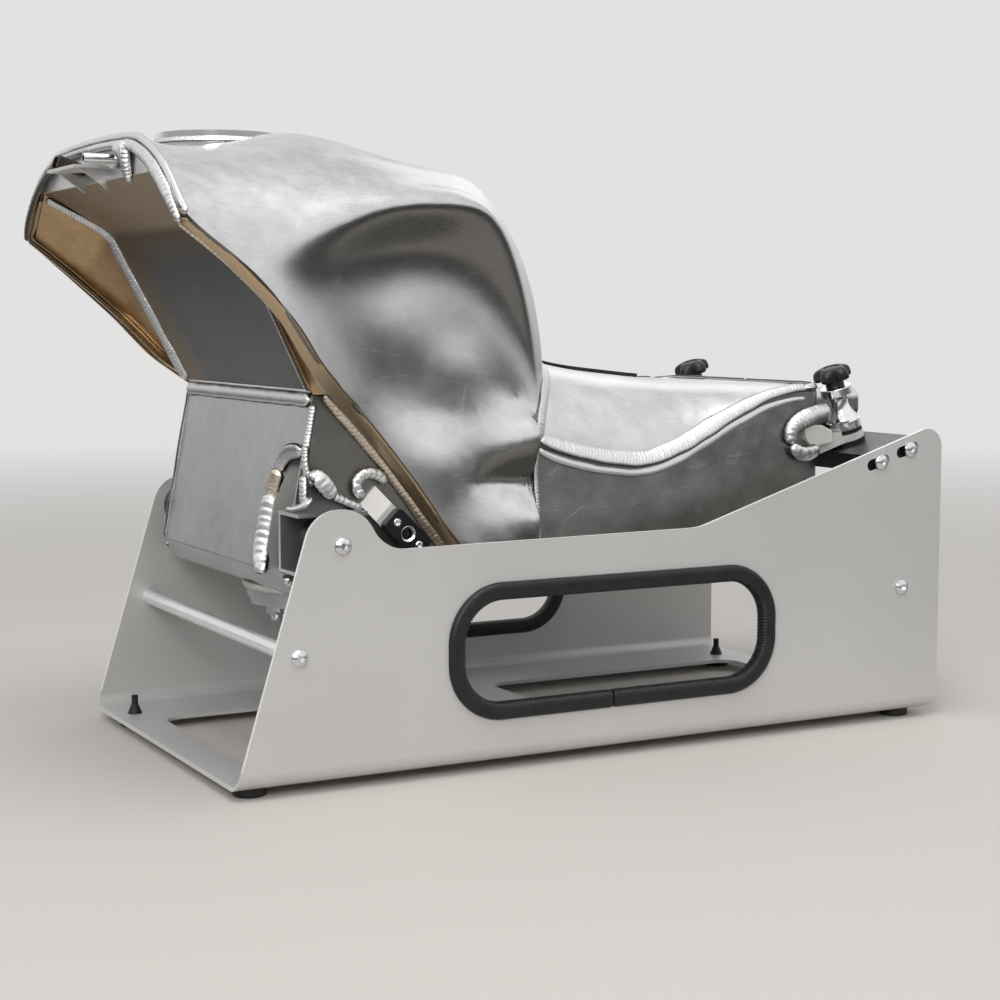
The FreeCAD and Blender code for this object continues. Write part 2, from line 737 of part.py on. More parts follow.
# Airbox sides: ruled panels from the ceiling's edge to the rim lip
side_front_x = ceiling_front_x + 4 * weld_gap
path = corner_wire([(side_front_x, forehead_base, 0), (ceiling_bend_x, ceiling_bend_height, ceiling_bend_radius),
                    (ceiling_foot_x, ceiling_foot_height, 0), (side_front_x, ceiling_foot_height, 0)], side_point)
edge_path = Part.Wire(path.OrderedEdges[:3]) if len(path.OrderedEdges) > 3 else path
side_steps = 14
ceiling_line = edge_path.discretize(Number=side_steps + 1)
if ceiling_line[0].x > ceiling_line[-1].x:
    ceiling_line.reverse()
inner_edge = []
outer_edge = []
for k, point in enumerate(ceiling_line):
    share = k / side_steps
    index = rim_corner_line + (recess_foot_line - rim_corner_line) * share
    low = min(int(math.floor(index)), len(lip_edge) - 2)
    a = shell_point(lip_edge[low], -1)
    b = shell_point(lip_edge[low + 1], -1)
    inner_edge.append(V(point.x, -ceiling_half(point.x) - weld_gap, point.z))
    outer_edge.append(a + (b - a) * (index - low) + V(lip_sheet + 5 * weld_gap, weld_gap, 0))
side_spacing = mean_parameters([inner_edge, outer_edge])
middle_step = side_steps // 2
panel_normal = (inner_edge[-1] - inner_edge[0]).cross(outer_edge[middle_step] - inner_edge[middle_step]).normalize()
if panel_normal.x < 0:
    panel_normal = panel_normal * -1
panel_back = panel_normal * airbox_sheet
panel = bar_between([
    spline_through(inner_edge, side_spacing), spline_through(outer_edge, side_spacing),
    spline_through([point + panel_back for point in outer_edge], side_spacing),
    spline_through([point + panel_back for point in inner_edge], side_spacing),
])
pieces["airbox_side_left"] = panel
pieces["airbox_side_right"] = mirrored(panel)

# Forehead plate: flat front between the ceiling's front edge and the crown
arch = []
last_line = len(line_parameters) - 1
for k in range(81):
    index = rim_corner_line + 1 + (last_line - 2 * (rim_corner_line + 1)) * k / 80
    point, wall = rim_inside(index, weld_gap * 3)
    behind = point + wall * (lip_sheet / wall.x)
    reach = math.copysign(min(abs(point.y), abs(behind.y)), point.y)
    if point.z > forehead_base + 0.8:
        arch.append(V(crown_front_x, reach, min(point.z, behind.z)))
arch = arch[::4] + ([] if (len(arch) - 1) % 4 == 0 else [arch[-1]])
arch_curve = spline_through(arch, mean_parameters([arch]))
left_low = V(crown_front_x, arch[0].y, forehead_base)
right_low = V(crown_front_x, arch[-1].y, forehead_base)
forehead_wire = Part.Wire([Part.makeLine(right_low, left_low), Part.makeLine(left_low, arch[0]),
                           arch_curve.toShape(), Part.makeLine(arch[-1], right_low)])
pieces["forehead_plate"] = Part.Face(forehead_wire).extrude(V(lip_sheet, 0, 0))

# Fittings on the forehead: shelf with its gussets, tall gusset, breather and hose clip
front_face = crown_front_x - seat_gap
shelf = Part.makeBox(shelf_reach, 2 * shelf_half_width, shelf_sheet,
                     V(front_face - shelf_reach, -shelf_half_width, shelf_height))
pieces["front_shelf"] = shelf
gussets = []
for step in (-1, 1):
    small = side_prism([(front_face, shelf_height - seat_gap, 0), (front_face, shelf_height - gusset_drop, 0),
                        (front_face - gusset_reach, shelf_height - seat_gap, 0)], -gusset_sheet / 2, gusset_sheet / 2)
    small.translate(V(0, step * gusset_spacing / 2, 0))
    gussets.append(small)
tall = side_prism([(front_face, tall_gusset_base, 0), (front_face, tall_gusset_top, 0),
                   (front_face - tall_gusset_reach, tall_gusset_top - tall_gusset_droop, 2 * gusset_sheet)],
                  -gusset_sheet, gusset_sheet)
tall.translate(V(0, tall_gusset_y, 0))
gussets.append(tall)
pieces["front_gussets"] = Part.makeCompound(gussets)
breather_start = V(front_face, breather_y, breather_height)
breather_end = V(front_face - breather_reach, breather_y, breather_height)
breather = rod(breather_radius, breather_start, breather_end)
pieces["breather_tube"] = breather.cut(rod(breather_bore, breather_start + V(1, 0, 0), breather_end - V(1, 0, 0)))
clip_base = shelf_height + shelf_sheet + seat_gap
clip_front = front_face - shelf_reach - 3
clip = plan_prism(rounded_box(clip_front, clip_front + clip_length, clip_y - clip_width / 2,
                              clip_y + clip_width / 2, 3), clip_base, clip_base + clip_height)
clip_room = plan_prism(rounded_box(clip_front + clip_wall, clip_front + clip_length - clip_wall,
                                   clip_y - clip_width / 2 + clip_wall, clip_y + clip_width / 2 - clip_wall, 1.2),
                       clip_base + clip_wall, clip_base + clip_height + 1)
pieces["hose_clip"] = clip.cut(clip_room)

# Sump box: folded front and bottom with a welded wall at each side
def sump_front_x(z):
    share = (z - sump_nose_height) / (ceiling_foot_height - sump_nose_height)
    return sump_nose_x + (ceiling_foot_x - sump_nose_x) * share


sump_top = ceiling_foot_height - 0.6
pocket_top = ceiling_foot_height - pocket_top_drop
pocket_rear_top = ceiling_foot_height - pocket_rear_top_drop
sump_outer = [(sump_front_x(sump_top), sump_top, 0), (sump_nose_x, sump_nose_height, 4),
              (sump_toe_x, floor_height, 4), (sump_rear_x - weld_gap, floor_height, 0),
              (sump_top_rear_x, sump_top, 0)]
sump = side_prism(sump_outer, -sump_half_width, sump_half_width)
sump_room = [
    (sump_front_x(sump_top + 10) + sump_sheet, sump_top + 10, 0), (sump_nose_x + sump_sheet, sump_nose_height + 0.6, 2),
    (sump_toe_x + 1, floor_height + sump_sheet, 2), (sump_rear_x + 60, floor_height + sump_sheet, 0),
    (sump_rear_x + 60, sump_top + 10, 0),
]
sump = sump.cut(side_prism(sump_room, -sump_half_width + sump_sheet, sump_half_width - sump_sheet))


def pocket_block(inset, side, extra):
    """Tapered recess of the sump's lower corner; inset shrinks it by the pocket's sheet."""
    low = pocket_base + inset
    high = pocket_top - inset
    rear_high = pocket_rear_top - inset
    front_y = side * (pocket_front_y + inset)
    rear_y = side * (pocket_rear_y + inset)
    outer_y = side * (sump_half_width + seat_gap + extra)
    lead = 10 if inset > 0 else 0
    front = [V(sump_front_x(low) - lead, front_y, low), V(sump_front_x(low) - lead, outer_y, low),
             V(sump_front_x(high) - lead, outer_y, high), V(sump_front_x(high) - lead, front_y, high)]
    depth = pocket_depth_x - inset
    rear = [V(depth, rear_y, low), V(depth, outer_y, low), V(depth, outer_y, rear_high), V(depth, rear_y, rear_high)]
    return block_between(front, rear)


channel_half = boss_radius + channel_gap + channel_wall
channel_outer_y = inner_half - channel_side_gap
# The sump's side sheet stays over the pocket, down to the top of the channel
kept_side = Part.makeBox(sump_rear_x, sump_sheet + weld_gap, pocket_top - pocket_base,
                         V(0, -sump_half_width - weld_gap, boss_height + channel_half + seat_gap))
recess = pocket_block(0, -1, 0).cut(kept_side)
pieces["mount_pocket"] = recess.cut(pocket_block(pocket_sheet, -1, 5))
pieces["sump_box"] = sump.cut(recess)

# Channels that sit over the support bosses: the left one stands in the pocket, the right one
# is welded flat against the sump's side
for name, side, front_x, web_y, web in (
        ("boss_channel_left", -1, channel_front_x, channel_web_y, channel_web),
        ("boss_channel_right", 1, side_channel_front_x, sump_half_width + seat_gap + side_channel_web,
         side_channel_web)):
    length = channel_rear_x - front_x
    y_near = side * (web_y - web)
    y_far = side * channel_outer_y
    block = Part.makeBox(length, abs(y_far - y_near), 2 * channel_half,
                         V(front_x, min(y_near, y_far), boss_height - channel_half))
    y_room = side * web_y
    y_out = side * (channel_outer_y + 5)
    room = Part.makeBox(length + 2, abs(y_out - y_room), 2 * (boss_radius + channel_gap),
                        V(front_x - 1, min(y_room, y_out), boss_height - boss_radius - channel_gap))
    pieces[name] = block.cut(room)

# Fairing tabs: bent strips on the sump's sides, each with a riveted block
tab_way = V(math.cos(math.radians(tab_angle)), 0, -math.sin(math.radians(tab_angle)))
tab_cross = V(math.sin(math.radians(tab_angle)), 0, math.cos(math.radians(tab_angle)))
tab_out = V(0, -1, 0)
tab_foot = V(tab_foot_x, -(sump_half_width + seat_gap), tab_foot_height)
tab_bend = V(tab_bend_x, -(sump_half_width + tab_stand_off), tab_bend_height)
tab_tip = tab_bend + tab_way * tab_length


def tab_section(centre):
    half = tab_cross * (tab_width / 2)
    return [centre - half, centre + half, centre + half + tab_out * tab_sheet, centre - half + tab_out * tab_sheet]


tab = block_between(tab_section(tab_foot), tab_section(tab_bend))
tab = tab.fuse(block_between(tab_section(tab_bend), tab_section(tab_tip))).removeSplitter()
block_face = tab_out * (tab_sheet + seat_gap)


block_near = tab_bend + tab_way * block_start + block_face
block_far = block_near + tab_way * block_length
block_middle = (block_near + block_far) * 0.5
block_half = tab_cross * (block_width / 2)
block_outline = [block_near - block_half, block_far - block_half, block_far + block_half, block_near + block_half,
                 block_near - block_half]
block = Part.Face(Part.makePolygon(block_outline)).extrude(tab_out * block_thickness)
corner_edges = [edge for edge in block.Edges if abs(edge.BoundBox.YLength - block_thickness) < 0.01]
block = block.makeFillet(3.0, corner_edges)
block = block.cut(rod(block_bore_radius, block_middle - tab_out, block_middle + tab_out * (block_thickness + 1)))
sink_start = block_middle + tab_out * (block_thickness - block_sink_depth)
block = block.cut(rod(block_sink_radius, sink_start, sink_start + tab_out * 5))
tab = tab.cut(rod(block_bore_radius + 0.6, block_middle + tab_out * 5, block_middle - tab_out * 10))
rivets = []
for step in (-1, 1):
    centre = block_middle + tab_way * (step * rivet_spacing / 2)
    inner_end = centre - block_face - tab_out * seat_gap
    outer_end = centre + tab_out * (block_thickness + seat_gap)
    block = block.cut(rod(rivet_radius + seat_gap, centre - tab_out, centre + tab_out * (block_thickness + 1)))
    tab = tab.cut(rod(rivet_radius + seat_gap, centre + tab_out, centre - tab_out * 8))
    rivet = rod(rivet_radius, inner_end, outer_end)
    rivet = rivet.fuse(rod(rivet_head_radius, outer_end, outer_end + tab_out * rivet_head_height))
    rivet = rivet.fuse(rod(rivet_head_radius, inner_end, inner_end - tab_out * rivet_head_height))
    rivets.append(rivet.removeSplitter())
pieces["fairing_tab_left"] = tab
pieces["fairing_tab_right"] = mirrored(tab)
pieces["fairing_block_left"] = block
pieces["fairing_block_right"] = mirrored(block)
pieces["fairing_rivets"] = Part.makeCompound(rivets + [mirrored(rivet) for rivet in rivets])

# Pump opening: welded ring, bolted plate, its screws and the fuel outlet
ring_top = floor_height - seat_gap
ring_base = ring_top - pump_ring_height
plate_top = ring_base - seat_gap
plate_base = plate_top - pump_plate_thickness
pump_ring = ring(pump_ring_radius, pump_ring_bore, ring_base, ring_top)
pump_plate = Part.makeCylinder(pump_plate_radius, pump_plate_thickness, V(0, 0, plate_base))
pump_screws = []
for k in range(pump_screw_count):
    angle = math.radians(360 * (k + 0.5) / pump_screw_count)
    spot = V(pump_screw_circle * math.cos(angle), pump_screw_circle * math.sin(angle), 0)
    bore = Part.makeCylinder(pump_screw_radius + shaft_clearance, pump_plate_thickness + 8, spot + V(0, 0, plate_base - 1))
    pump_plate = pump_plate.cut(bore)
    pump_ring = pump_ring.cut(bore)
    head = Part.makeCylinder(pump_head_radius, pump_head_height, spot + V(0, 0, plate_base - seat_gap - pump_head_height))
    socket = hexagon(3.0, plate_base - pump_head_height - 1, plate_base - 1.2)
    socket.translate(spot)
    shank = Part.makeCylinder(pump_screw_radius, pump_plate_thickness + 6, spot + V(0, 0, plate_base - seat_gap))
    pump_screws.append(head.cut(socket).fuse(shank).removeSplitter())
outlet_spot = V(outlet_offset_x, 0, 0)
outlet = hexagon(outlet_hex, plate_base - seat_gap - outlet_height * 0.6, plate_base - seat_gap)
outlet = outlet.fuse(Part.makeCylinder(outlet_hex * 0.36, outlet_height, V(0, 0, plate_base - seat_gap - outlet_height)))
outlet = outlet.cut(Part.makeCylinder(outlet_bore_radius, outlet_height + 2, V(0, 0, plate_base - outlet_height - 1)))
outlet.translate(outlet_spot)
pump_plate = pump_plate.cut(Part.makeCylinder(outlet_bore_radius, 20, outlet_spot + V(0, 0, plate_base - 5)))
sump = pieces["sump_box"].cut(Part.makeCylinder(pump_ring_bore, 20, V(pump_x, pump_y, floor_height - 10)))
pieces["sump_box"] = sump
for name, shape in (("pump_ring", pump_ring), ("pump_plate", pump_plate),
                    ("pump_screws", Part.makeCompound(pump_screws)), ("fuel_outlet", outlet)):
    shape.translate(V(pump_x, pump_y, 0))
    pieces[name] = shape

# Tank floor between the sump and the rear wall
def cell_half(x):
    """Half width of the rear cell in plan, with its rounded rear corners."""
    straight_end = cell_rear_x - cell_corner_radius
    share = min(1.0, (x - cell_front_x) / (straight_end - cell_front_x))
    width = cell_front_half + (cell_rear_half - cell_front_half) * share
    if x > straight_end:
        reach = min(x - straight_end, cell_corner_radius)
        width = width - cell_corner_radius + math.sqrt(cell_corner_radius ** 2 - reach ** 2)
    return width


floor_side = []
for k in range(8):
    point = shell_inner.value(k / 7, 0)
    floor_side.append((point.x + (0.6 if k == 0 else 0), abs(point.y) - 0.6))
behind_lip = sump_rear_x + lip_sheet + 1.5
floor_side = ([(sump_rear_x + weld_gap, sump_half_width - weld_gap), (behind_lip, sump_half_width - weld_gap),
               (behind_lip, floor_side[0][1])]
              + [spot for spot in floor_side if behind_lip + 1 < spot[0] < cell_front_x - 2])
inset = skin + 0.8
floor_side.append((cell_front_x - 1.5, cell_front_half - inset))
rear_in = cell_rear_x - inset
floor_corners = [(x, -y, 0) for x, y in floor_side]
floor_corners.append((rear_in, -(cell_rear_half - inset), cell_corner_radius - inset))
floor_corners.append((rear_in, cell_rear_half - inset, cell_corner_radius - inset))
floor_corners.extend((x, y, 0) for x, y in reversed(floor_side))
pieces["tank_floor"] = plan_prism(floor_corners, floor_height, floor_height + floor_sheet)

# Rear wall: one strip wrapped round the rear cell, its top following the saddle's edge
straight_end = cell_rear_x - cell_corner_radius
wall_places = []
for step in range(12):
    x = cell_front_x + (straight_end - cell_front_x) * step / 11.5
    wall_places.append((x, -cell_half(x), V(0, -1, 0)))
wall_places.append((straight_end, -cell_rear_half, V(0, -1, 0)))
for step in range(1, 6):
    angle = math.radians(15 * step)
    outward = V(math.sin(angle), -math.cos(angle), 0)
    centre = V(straight_end, -(cell_rear_half - cell_corner_radius), 0)
    spot = centre + outward * cell_corner_radius
    wall_places.append((spot.x, spot.y, outward))
for share in (1, 0.9, 0.5):
    wall_places.append((cell_rear_x, -(cell_rear_half - cell_corner_radius) * share, V(1, 0, 0)))
wall_places += [(cell_rear_x, 0, V(1, 0, 0))] + [(x, -y, V(out.x, -out.y, 0)) for x, y, out in reversed(wall_places)]
wall_low = []
wall_high = []
wall_high_in = []
wall_low_in = []
for x, y, outward in wall_places:
    high = value_along(saddle_edge, x) - skin - weld_gap
    wall_low.append(V(x, y, floor_height))
    wall_high.append(V(x, y, high))
    wall_high_in.append(V(x, y, high) - outward * skin)
    wall_low_in.append(V(x, y, floor_height) - outward * skin)
wall_spacing = mean_parameters([wall_low])
pieces["rear_wall"] = bar_between([spline_through(points, wall_spacing)
                                   for points in (wall_low, wall_high, wall_high_in, wall_low_in)])

# Saddle skin over the rear cell, from the shell's rear seam to the rear wall
seam = [line[-1] for line in shell_lines[int(seam_line_index):]]
seam_start = seam[0][0]
stations = [seam_start, 250, 285, 313, 335, 370, 405, 425, straight_end, 446, 452, 455.7, cell_rear_x]
saddle_lines = []
for x_seam, half, height in seam:
    width_share = half / seam[0][1]
    low = value_along(saddle_edge, x_seam)
    rise_share = (height - low) / (value_along(saddle_crest, x_seam) - low)
    line = []
    for station in stations:
        x = x_seam + 2 * weld_gap + ((station - seam_start) * (cell_rear_x - x_seam - 2 * weld_gap)
                                     / (cell_rear_x - seam_start))
        low = value_along(saddle_edge, x)
        crest = value_along(saddle_crest, x)
        line.append(V(x, -cell_half(x) * width_share, low + (crest - low) * rise_share))
    saddle_lines.append(line)
saddle_lines += [[V(point.x, -point.y, point.z) for point in line] for line in reversed(saddle_lines[:-1])]
saddle_outer, saddle_inner, saddle_parameters, saddle = formed_sheet(saddle_lines, skin)
pieces["saddle_skin"] = saddle

# Foam strip stuck along the saddle's crest
crest_start = saddle_crest[1][0]
foam_lines = []
for across in range(-3, 4):
    line = []
    for step in range(9):
        along = foam_start_x + (foam_end_x - foam_start_x) * step / 8 - crest_start - 2 * weld_gap
        u_share = along / (cell_rear_x - crest_start)
        u = min(max(u_share, 0), 1)
        v = 0.5 + across * 0.022
        line.append(saddle_outer.value(u, v) + saddle_outer.normal(u, v) *
                    ((foam_thickness + weld_gap) * (1 if saddle_outer.normal(0.5, 0.5).z > 0 else -1)))
    foam_lines.append(line)
pieces["foam_strip"] = formed_sheet(foam_lines, foam_thickness)[3]

# Slosh baffle across the rear cell
baffle_half = cell_half(baffle_x) - skin - weld_gap
baffle_base = floor_height + floor_sheet + seat_gap
baffle = Part.makeBox(baffle_sheet, 2 * baffle_half, baffle_top - baffle_base, V(baffle_x, -baffle_half, baffle_base))
baffle_middle = (baffle_base + baffle_top) / 2
for step in (-1.5, -0.5, 0.5, 1.5):
    y = step * baffle_hole_spacing
    baffle = baffle.cut(rod(baffle_hole_radius, V(baffle_x - 1, y, baffle_middle), V(baffle_x + 5, y, baffle_middle)))
pieces["slosh_baffle"] = baffle

# Tail nose behind the rear wall, clear of the crossbar below it
def bar_top_height(x):
    return post_spot(0, bar_top, 0).z + (x - post_spot(0, bar_top, 0).x) * math.tan(tilt)


def nose_block(inset, front_x):
    corners = [(front_x, bar_top_height(front_x) + nose_clearance + inset, 0),
               (nose_end_x - inset, bar_top_height(nose_end_x - inset) + nose_clearance + inset, 0),
               (nose_end_x - inset, nose_top - inset, 0), (front_x, nose_top - inset, 0)]
    block = side_prism(corners, -nose_half_width + inset, nose_half_width - inset)
    edges = [edge for edge in block.Edges if edge.BoundBox.XMax > front_x + 0.01]
    return block.makeFillet(nose_round - inset, edges)


nose_front = cell_rear_x + 2 * weld_gap
pieces["tail_nose"] = nose_block(0, nose_front).cut(nose_block(skin, nose_front - 5))

# Filler neck, its cap and seal
neck_radius = filler_hole_radius - weld_gap
neck = ring(neck_radius, neck_radius - filler_wall, filler_top - filler_depth, filler_top)
ledge_top = filler_top - filler_ledge_depth
neck = neck.fuse(ring(neck_radius - filler_wall / 2, neck_radius - filler_wall - filler_ledge, ledge_top - 3, ledge_top))
neck = neck.removeSplitter()
seal_radius = neck_radius - filler_wall - cap_gap
seal = ring(seal_radius, seal_radius - filler_ledge + 1, ledge_top + seat_gap, ledge_top + seat_gap + seal_thickness)
cap_base = ledge_top + seal_thickness + 2 * seat_gap
cap_top = cap_base + cap_thickness
cap = Part.makeCylinder(seal_radius, cap_thickness, V(0, 0, cap_base))
cap = cap.makeFillet(1.0, [edge for edge in cap.Edges if abs(edge.BoundBox.ZMin - cap_top) < 0.001])
cap_recess = Part.makeCylinder(cap_recess_radius, cap_recess_depth + 1, V(0, 0, cap_top - cap_recess_depth))
grip = Part.makeBox(2 * cap_recess_radius + 2, cap_grip_width, cap_recess_depth + 2,
                    V(-cap_recess_radius - 1, -cap_grip_width / 2, cap_top - cap_recess_depth - 1))
cap = cap.cut(cap_recess.cut(grip))
for name, shape in (("filler_neck", neck), ("filler_seal", seal), ("filler_cap", cap)):
    shape.translate(V(filler_x, 0, 0))
    pieces[name] = shape

# Rear lugs welded to the rear wall's corners
keep_out = plan_prism([(cell_front_x, -cell_front_half - weld_gap, 0),
                       (cell_rear_x + weld_gap, -cell_rear_half - weld_gap, cell_corner_radius + weld_gap),
                       (cell_rear_x + weld_gap, cell_rear_half + weld_gap, cell_corner_radius + weld_gap),
                       (cell_front_x, cell_front_half + weld_gap, 0)], floor_height - skin, saddle_crest[0][1] + skin)
for name, side in (("rear_lug_left", -1), ("rear_lug_right", 1)):
    eye = ring(lug_radius, lug_bore_radius, -lug_thickness / 2, lug_thickness / 2)
    arm = Part.makeBox(lug_arm_reach, lug_arm_width, lug_arm_thickness,
                       V(-lug_arm_reach, -lug_arm_width / 2, -lug_thickness / 2))
    clear = Part.makeCylinder(lug_radius + 1.2, lug_arm_thickness + 5, V(0, 0, lug_thickness / 2))
    arm = arm.cut(Part.makeCylinder(lug_bore_radius + 1, 40, V(0, 0, -20))).cut(clear)
    pieces[name] = on_post(eye.fuse(arm), side).cut(keep_out).removeSplitter()

# Post stacks: pad, grommet, bell, collar, stud and knob on each side
grommet_base = lug_thickness / 2 + seat_gap
bell_base = grommet_base + grommet_thickness + seat_gap
bell_top = bell_base + bell_height
collar_base = bell_top + seat_gap
collar_top = collar_base + collar_height
knob_base = collar_top + seat_gap
stud_radius = post_thread_radius - shaft_clearance
clear_radius = stud_radius + 0.6
pad = ring(pad_radius, clear_radius, -lug_thickness / 2 - seat_gap - pad_thickness, -lug_thickness / 2 - seat_gap)
grommet = ring(grommet_radius, clear_radius, grommet_base, grommet_base + grommet_thickness)
neck_start = bell_base + bell_base_height
bell_side = spline_through(
    [V(bell_base_radius - 1.2, 0, neck_start + 0.8), V(bell_neck_radius + 3.0, 0, neck_start + 4.2),
     V(bell_neck_radius + 0.5, 0, neck_start + 9.5), V(bell_neck_radius, 0, bell_top - 4.0),
     V(bell_neck_radius + 1.4, 0, bell_top)], (0, 0.28, 0.58, 0.8, 1))
bell_wire = Part.Wire([
    Part.makeLine(V(clear_radius, 0, bell_base), V(bell_base_radius, 0, bell_base)),
    Part.makeLine(V(bell_base_radius, 0, bell_base), V(bell_base_radius, 0, neck_start)),
    Part.makeLine(V(bell_base_radius, 0, neck_start), V(bell_base_radius - 1.2, 0, neck_start + 0.8)),
    bell_side.toShape(),
    Part.makeLine(V(bell_neck_radius + 1.4, 0, bell_top), V(clear_radius, 0, bell_top)),
    Part.makeLine(V(clear_radius, 0, bell_top), V(clear_radius, 0, bell_base)),
])
bell = Part.Face(bell_wire).revolve(V(0, 0, 0), V(0, 0, 1), 360)
bell = bell if bell.ShapeType == "Solid" else Part.makeSolid(bell.Shells[0])
collar = ring(collar_radius, stud_radius + shaft_clearance, collar_base, collar_top)
rim_edges = [edge for edge in collar.Edges if abs(edge.BoundBox.XLength - 2 * collar_radius) < 0.01]
collar = collar.makeFillet(0.8, [edge for edge in rim_edges if edge.BoundBox.ZLength < 0.001])
star = Part.makeCylinder(knob_radius, knob_height, V(0, 0, knob_base + knob_stem_height))
for k in range(knob_lobes):
    angle = math.radians(360 * k / knob_lobes)
    reach = knob_radius + knob_scallop_radius * 0.55
    spot = V(reach * math.cos(angle), reach * math.sin(angle), knob_base)
    star = star.cut(Part.makeCylinder(knob_scallop_radius, knob_height + 10, spot))
star = star.makeFillet(1.0, [edge for edge in star.Edges if edge.BoundBox.ZLength < 0.001])
knob = star.fuse(Part.makeCylinder(knob_stem_radius, knob_stem_height + 1, V(0, 0, knob_base))).removeSplitter()
knob = knob.cut(Part.makeCylinder(stud_radius + seat_gap / 2, stud_seat_depth, V(0, 0, knob_base - 0.001)))
stud_base = bar_top - stud_bite
stud = Part.makeCylinder(stud_radius, knob_base + stud_seat_depth - seat_gap - stud_base, V(0, 0, stud_base))
stud = stud.makeChamfer(0.8, [edge for edge in stud.Edges if edge.BoundBox.ZLength < 0.001 and
                              abs(edge.BoundBox.ZMin - stud_base) < 0.001])
pieces["post_pads"] = Part.makeCompound([on_post(pad, -1), on_post(pad, 1)])
pieces["post_grommets"] = Part.makeCompound([on_post(grommet, -1), on_post(grommet, 1)])
for word, side in (("left", -1), ("right", 1)):
    pieces["post_bell_" + word] = on_post(bell, side)
    pieces["post_collar_" + word] = on_post(collar, side)
    pieces["post_knob_" + word] = on_post(knob, side)
    pieces["post_stud_" + word] = on_post(stud, side)

# Row frame: origin under the middle of the assembly, feet on the ground plane
front_reach = min(clip_front, front_face - shelf_reach, breather_end.x)
origin_x = (stand_length + front_reach) / 2
for name, shape in pieces.items():
    placed = shape.copy()
    placed.translate(V(-origin_x, 0, foot_height))
    placed.exportStep("parts/" + name + ".step")
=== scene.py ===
import math

import bmesh
import bpy
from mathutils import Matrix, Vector, noise


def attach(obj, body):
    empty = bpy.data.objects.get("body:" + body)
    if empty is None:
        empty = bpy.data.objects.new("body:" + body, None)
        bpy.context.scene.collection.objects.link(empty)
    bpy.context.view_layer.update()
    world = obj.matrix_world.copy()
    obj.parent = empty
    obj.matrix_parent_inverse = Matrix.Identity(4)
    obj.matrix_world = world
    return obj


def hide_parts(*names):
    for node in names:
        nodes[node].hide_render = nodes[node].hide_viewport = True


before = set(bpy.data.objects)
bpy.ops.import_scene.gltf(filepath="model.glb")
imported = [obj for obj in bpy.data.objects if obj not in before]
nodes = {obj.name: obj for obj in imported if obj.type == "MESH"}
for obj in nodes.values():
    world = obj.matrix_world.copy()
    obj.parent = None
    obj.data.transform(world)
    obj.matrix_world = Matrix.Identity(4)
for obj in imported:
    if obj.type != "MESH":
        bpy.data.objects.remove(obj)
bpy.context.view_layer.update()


# View of the bench: the camera stands ahead of the stand's left side, a little above it,
# with a long lens, as the tank was photographed.
camera_data = bpy.data.cameras.new("bench_camera")
camera_data.lens = 68.79
camera_data.sensor_width = 36
camera = bpy.data.objects.new("bench_camera", camera_data)
camera.location = (-0.612935, -1.1655, 0.2831)
camera.rotation_euler = (math.radians(84.429), 0, math.radians(-28.377))
bpy.context.collection.objects.link(camera)
bpy.context.scene.camera = camera
bpy.context.scene.view_settings.view_transform = "Standard"


# Bench top and studio: a plain pale floor that runs out of sight into a pale room. Bare metal
# mirrors this room, whose floor and horizon are a darker grey on the photographer's side.
def wired(tree, kind, values=None, links=None, **settings):
    """One shader node with its settings, input values and incoming links."""
    node = tree.nodes.new(kind)
    for setting, value in settings.items():
        setattr(node, setting, value)
    for socket, value in (values or {}).items():
        node.inputs[socket].default_value = value
    for socket, source in (links or {}).items():
        tree.links.new(source, node.inputs[socket])
    return node


def worked(group, operation, a, b=None, c=None):
    """One math node; each term is a number or a socket."""
    node = wired(group, "ShaderNodeMath", {}, {}, operation=operation)
    for index, term in enumerate((a, b, c)):
        if isinstance(term, (int, float)):
            node.inputs[index].default_value = term
        elif term is not None:
            group.links.new(term, node.inputs[index])
    return node.outputs[0]


def tinted(group, factor, dark, light):
    """Colour between two sockets or colours by a factor."""
    node = wired(group, "ShaderNodeMix", {}, {0: factor}, data_type="RGBA")
    for index, colour in ((6, dark), (7, light)):
        if isinstance(colour, tuple):
            node.inputs[index].default_value = colour
        else:
            group.links.new(colour, node.inputs[index])
    return node.outputs[2]


def smooth_range(tree, value, start, end):
    """0 to 1, eased, as value runs from start to end."""
    node = wired(tree, "ShaderNodeMapRange", {"From Min": start, "From Max": end}, {"Value": value},
                 interpolation_type="SMOOTHSTEP")
    return node.outputs["Result"]


def share_along(tree, place, way):
    """How far a place lies along a way."""
    node = wired(tree, "ShaderNodeVectorMath", {1: way}, {0: place}, operation="DOT_PRODUCT")
    return node.outputs["Value"]


to_camera = (-0.475, -0.88, 0)
across_view = (0.88, -0.475, 0)
floor_mesh = bpy.data.meshes.new("bench_top")
bm = bmesh.new()
bmesh.ops.create_grid(bm, x_segments=1, y_segments=1, size=30)
bm.to_mesh(floor_mesh)
bm.free()
floor = bpy.data.objects.new("bench_top", floor_mesh)
bpy.context.collection.objects.link(floor)
floor_paint = bpy.data.materials.new("bench_top_pale")
floor_paint.use_nodes = True
tree = floor_paint.node_tree
floor_shader = tree.nodes["Principled BSDF"]
floor_shader.inputs["Base Color"].default_value = (0.57, 0.54, 0.50, 1)
floor_shader.inputs["Roughness"].default_value = 0.75
place = wired(tree, "ShaderNodeTexCoord").outputs["Object"]
reach = wired(tree, "ShaderNodeVectorMath", {}, {0: place}, operation="LENGTH").outputs["Value"]
path = wired(tree, "ShaderNodeLightPath").outputs
seen = worked(tree, "MAXIMUM", path["Is Camera Ray"], path["Is Glossy Ray"])
faded = worked(tree, "MULTIPLY", smooth_range(tree, reach, 0.5, 3.2), seen)
toward = share_along(tree, place, to_camera)
aside = worked(tree, "ABSOLUTE", share_along(tree, place, across_view))
outside = worked(tree, "MULTIPLY_ADD", toward, 0.27, aside)
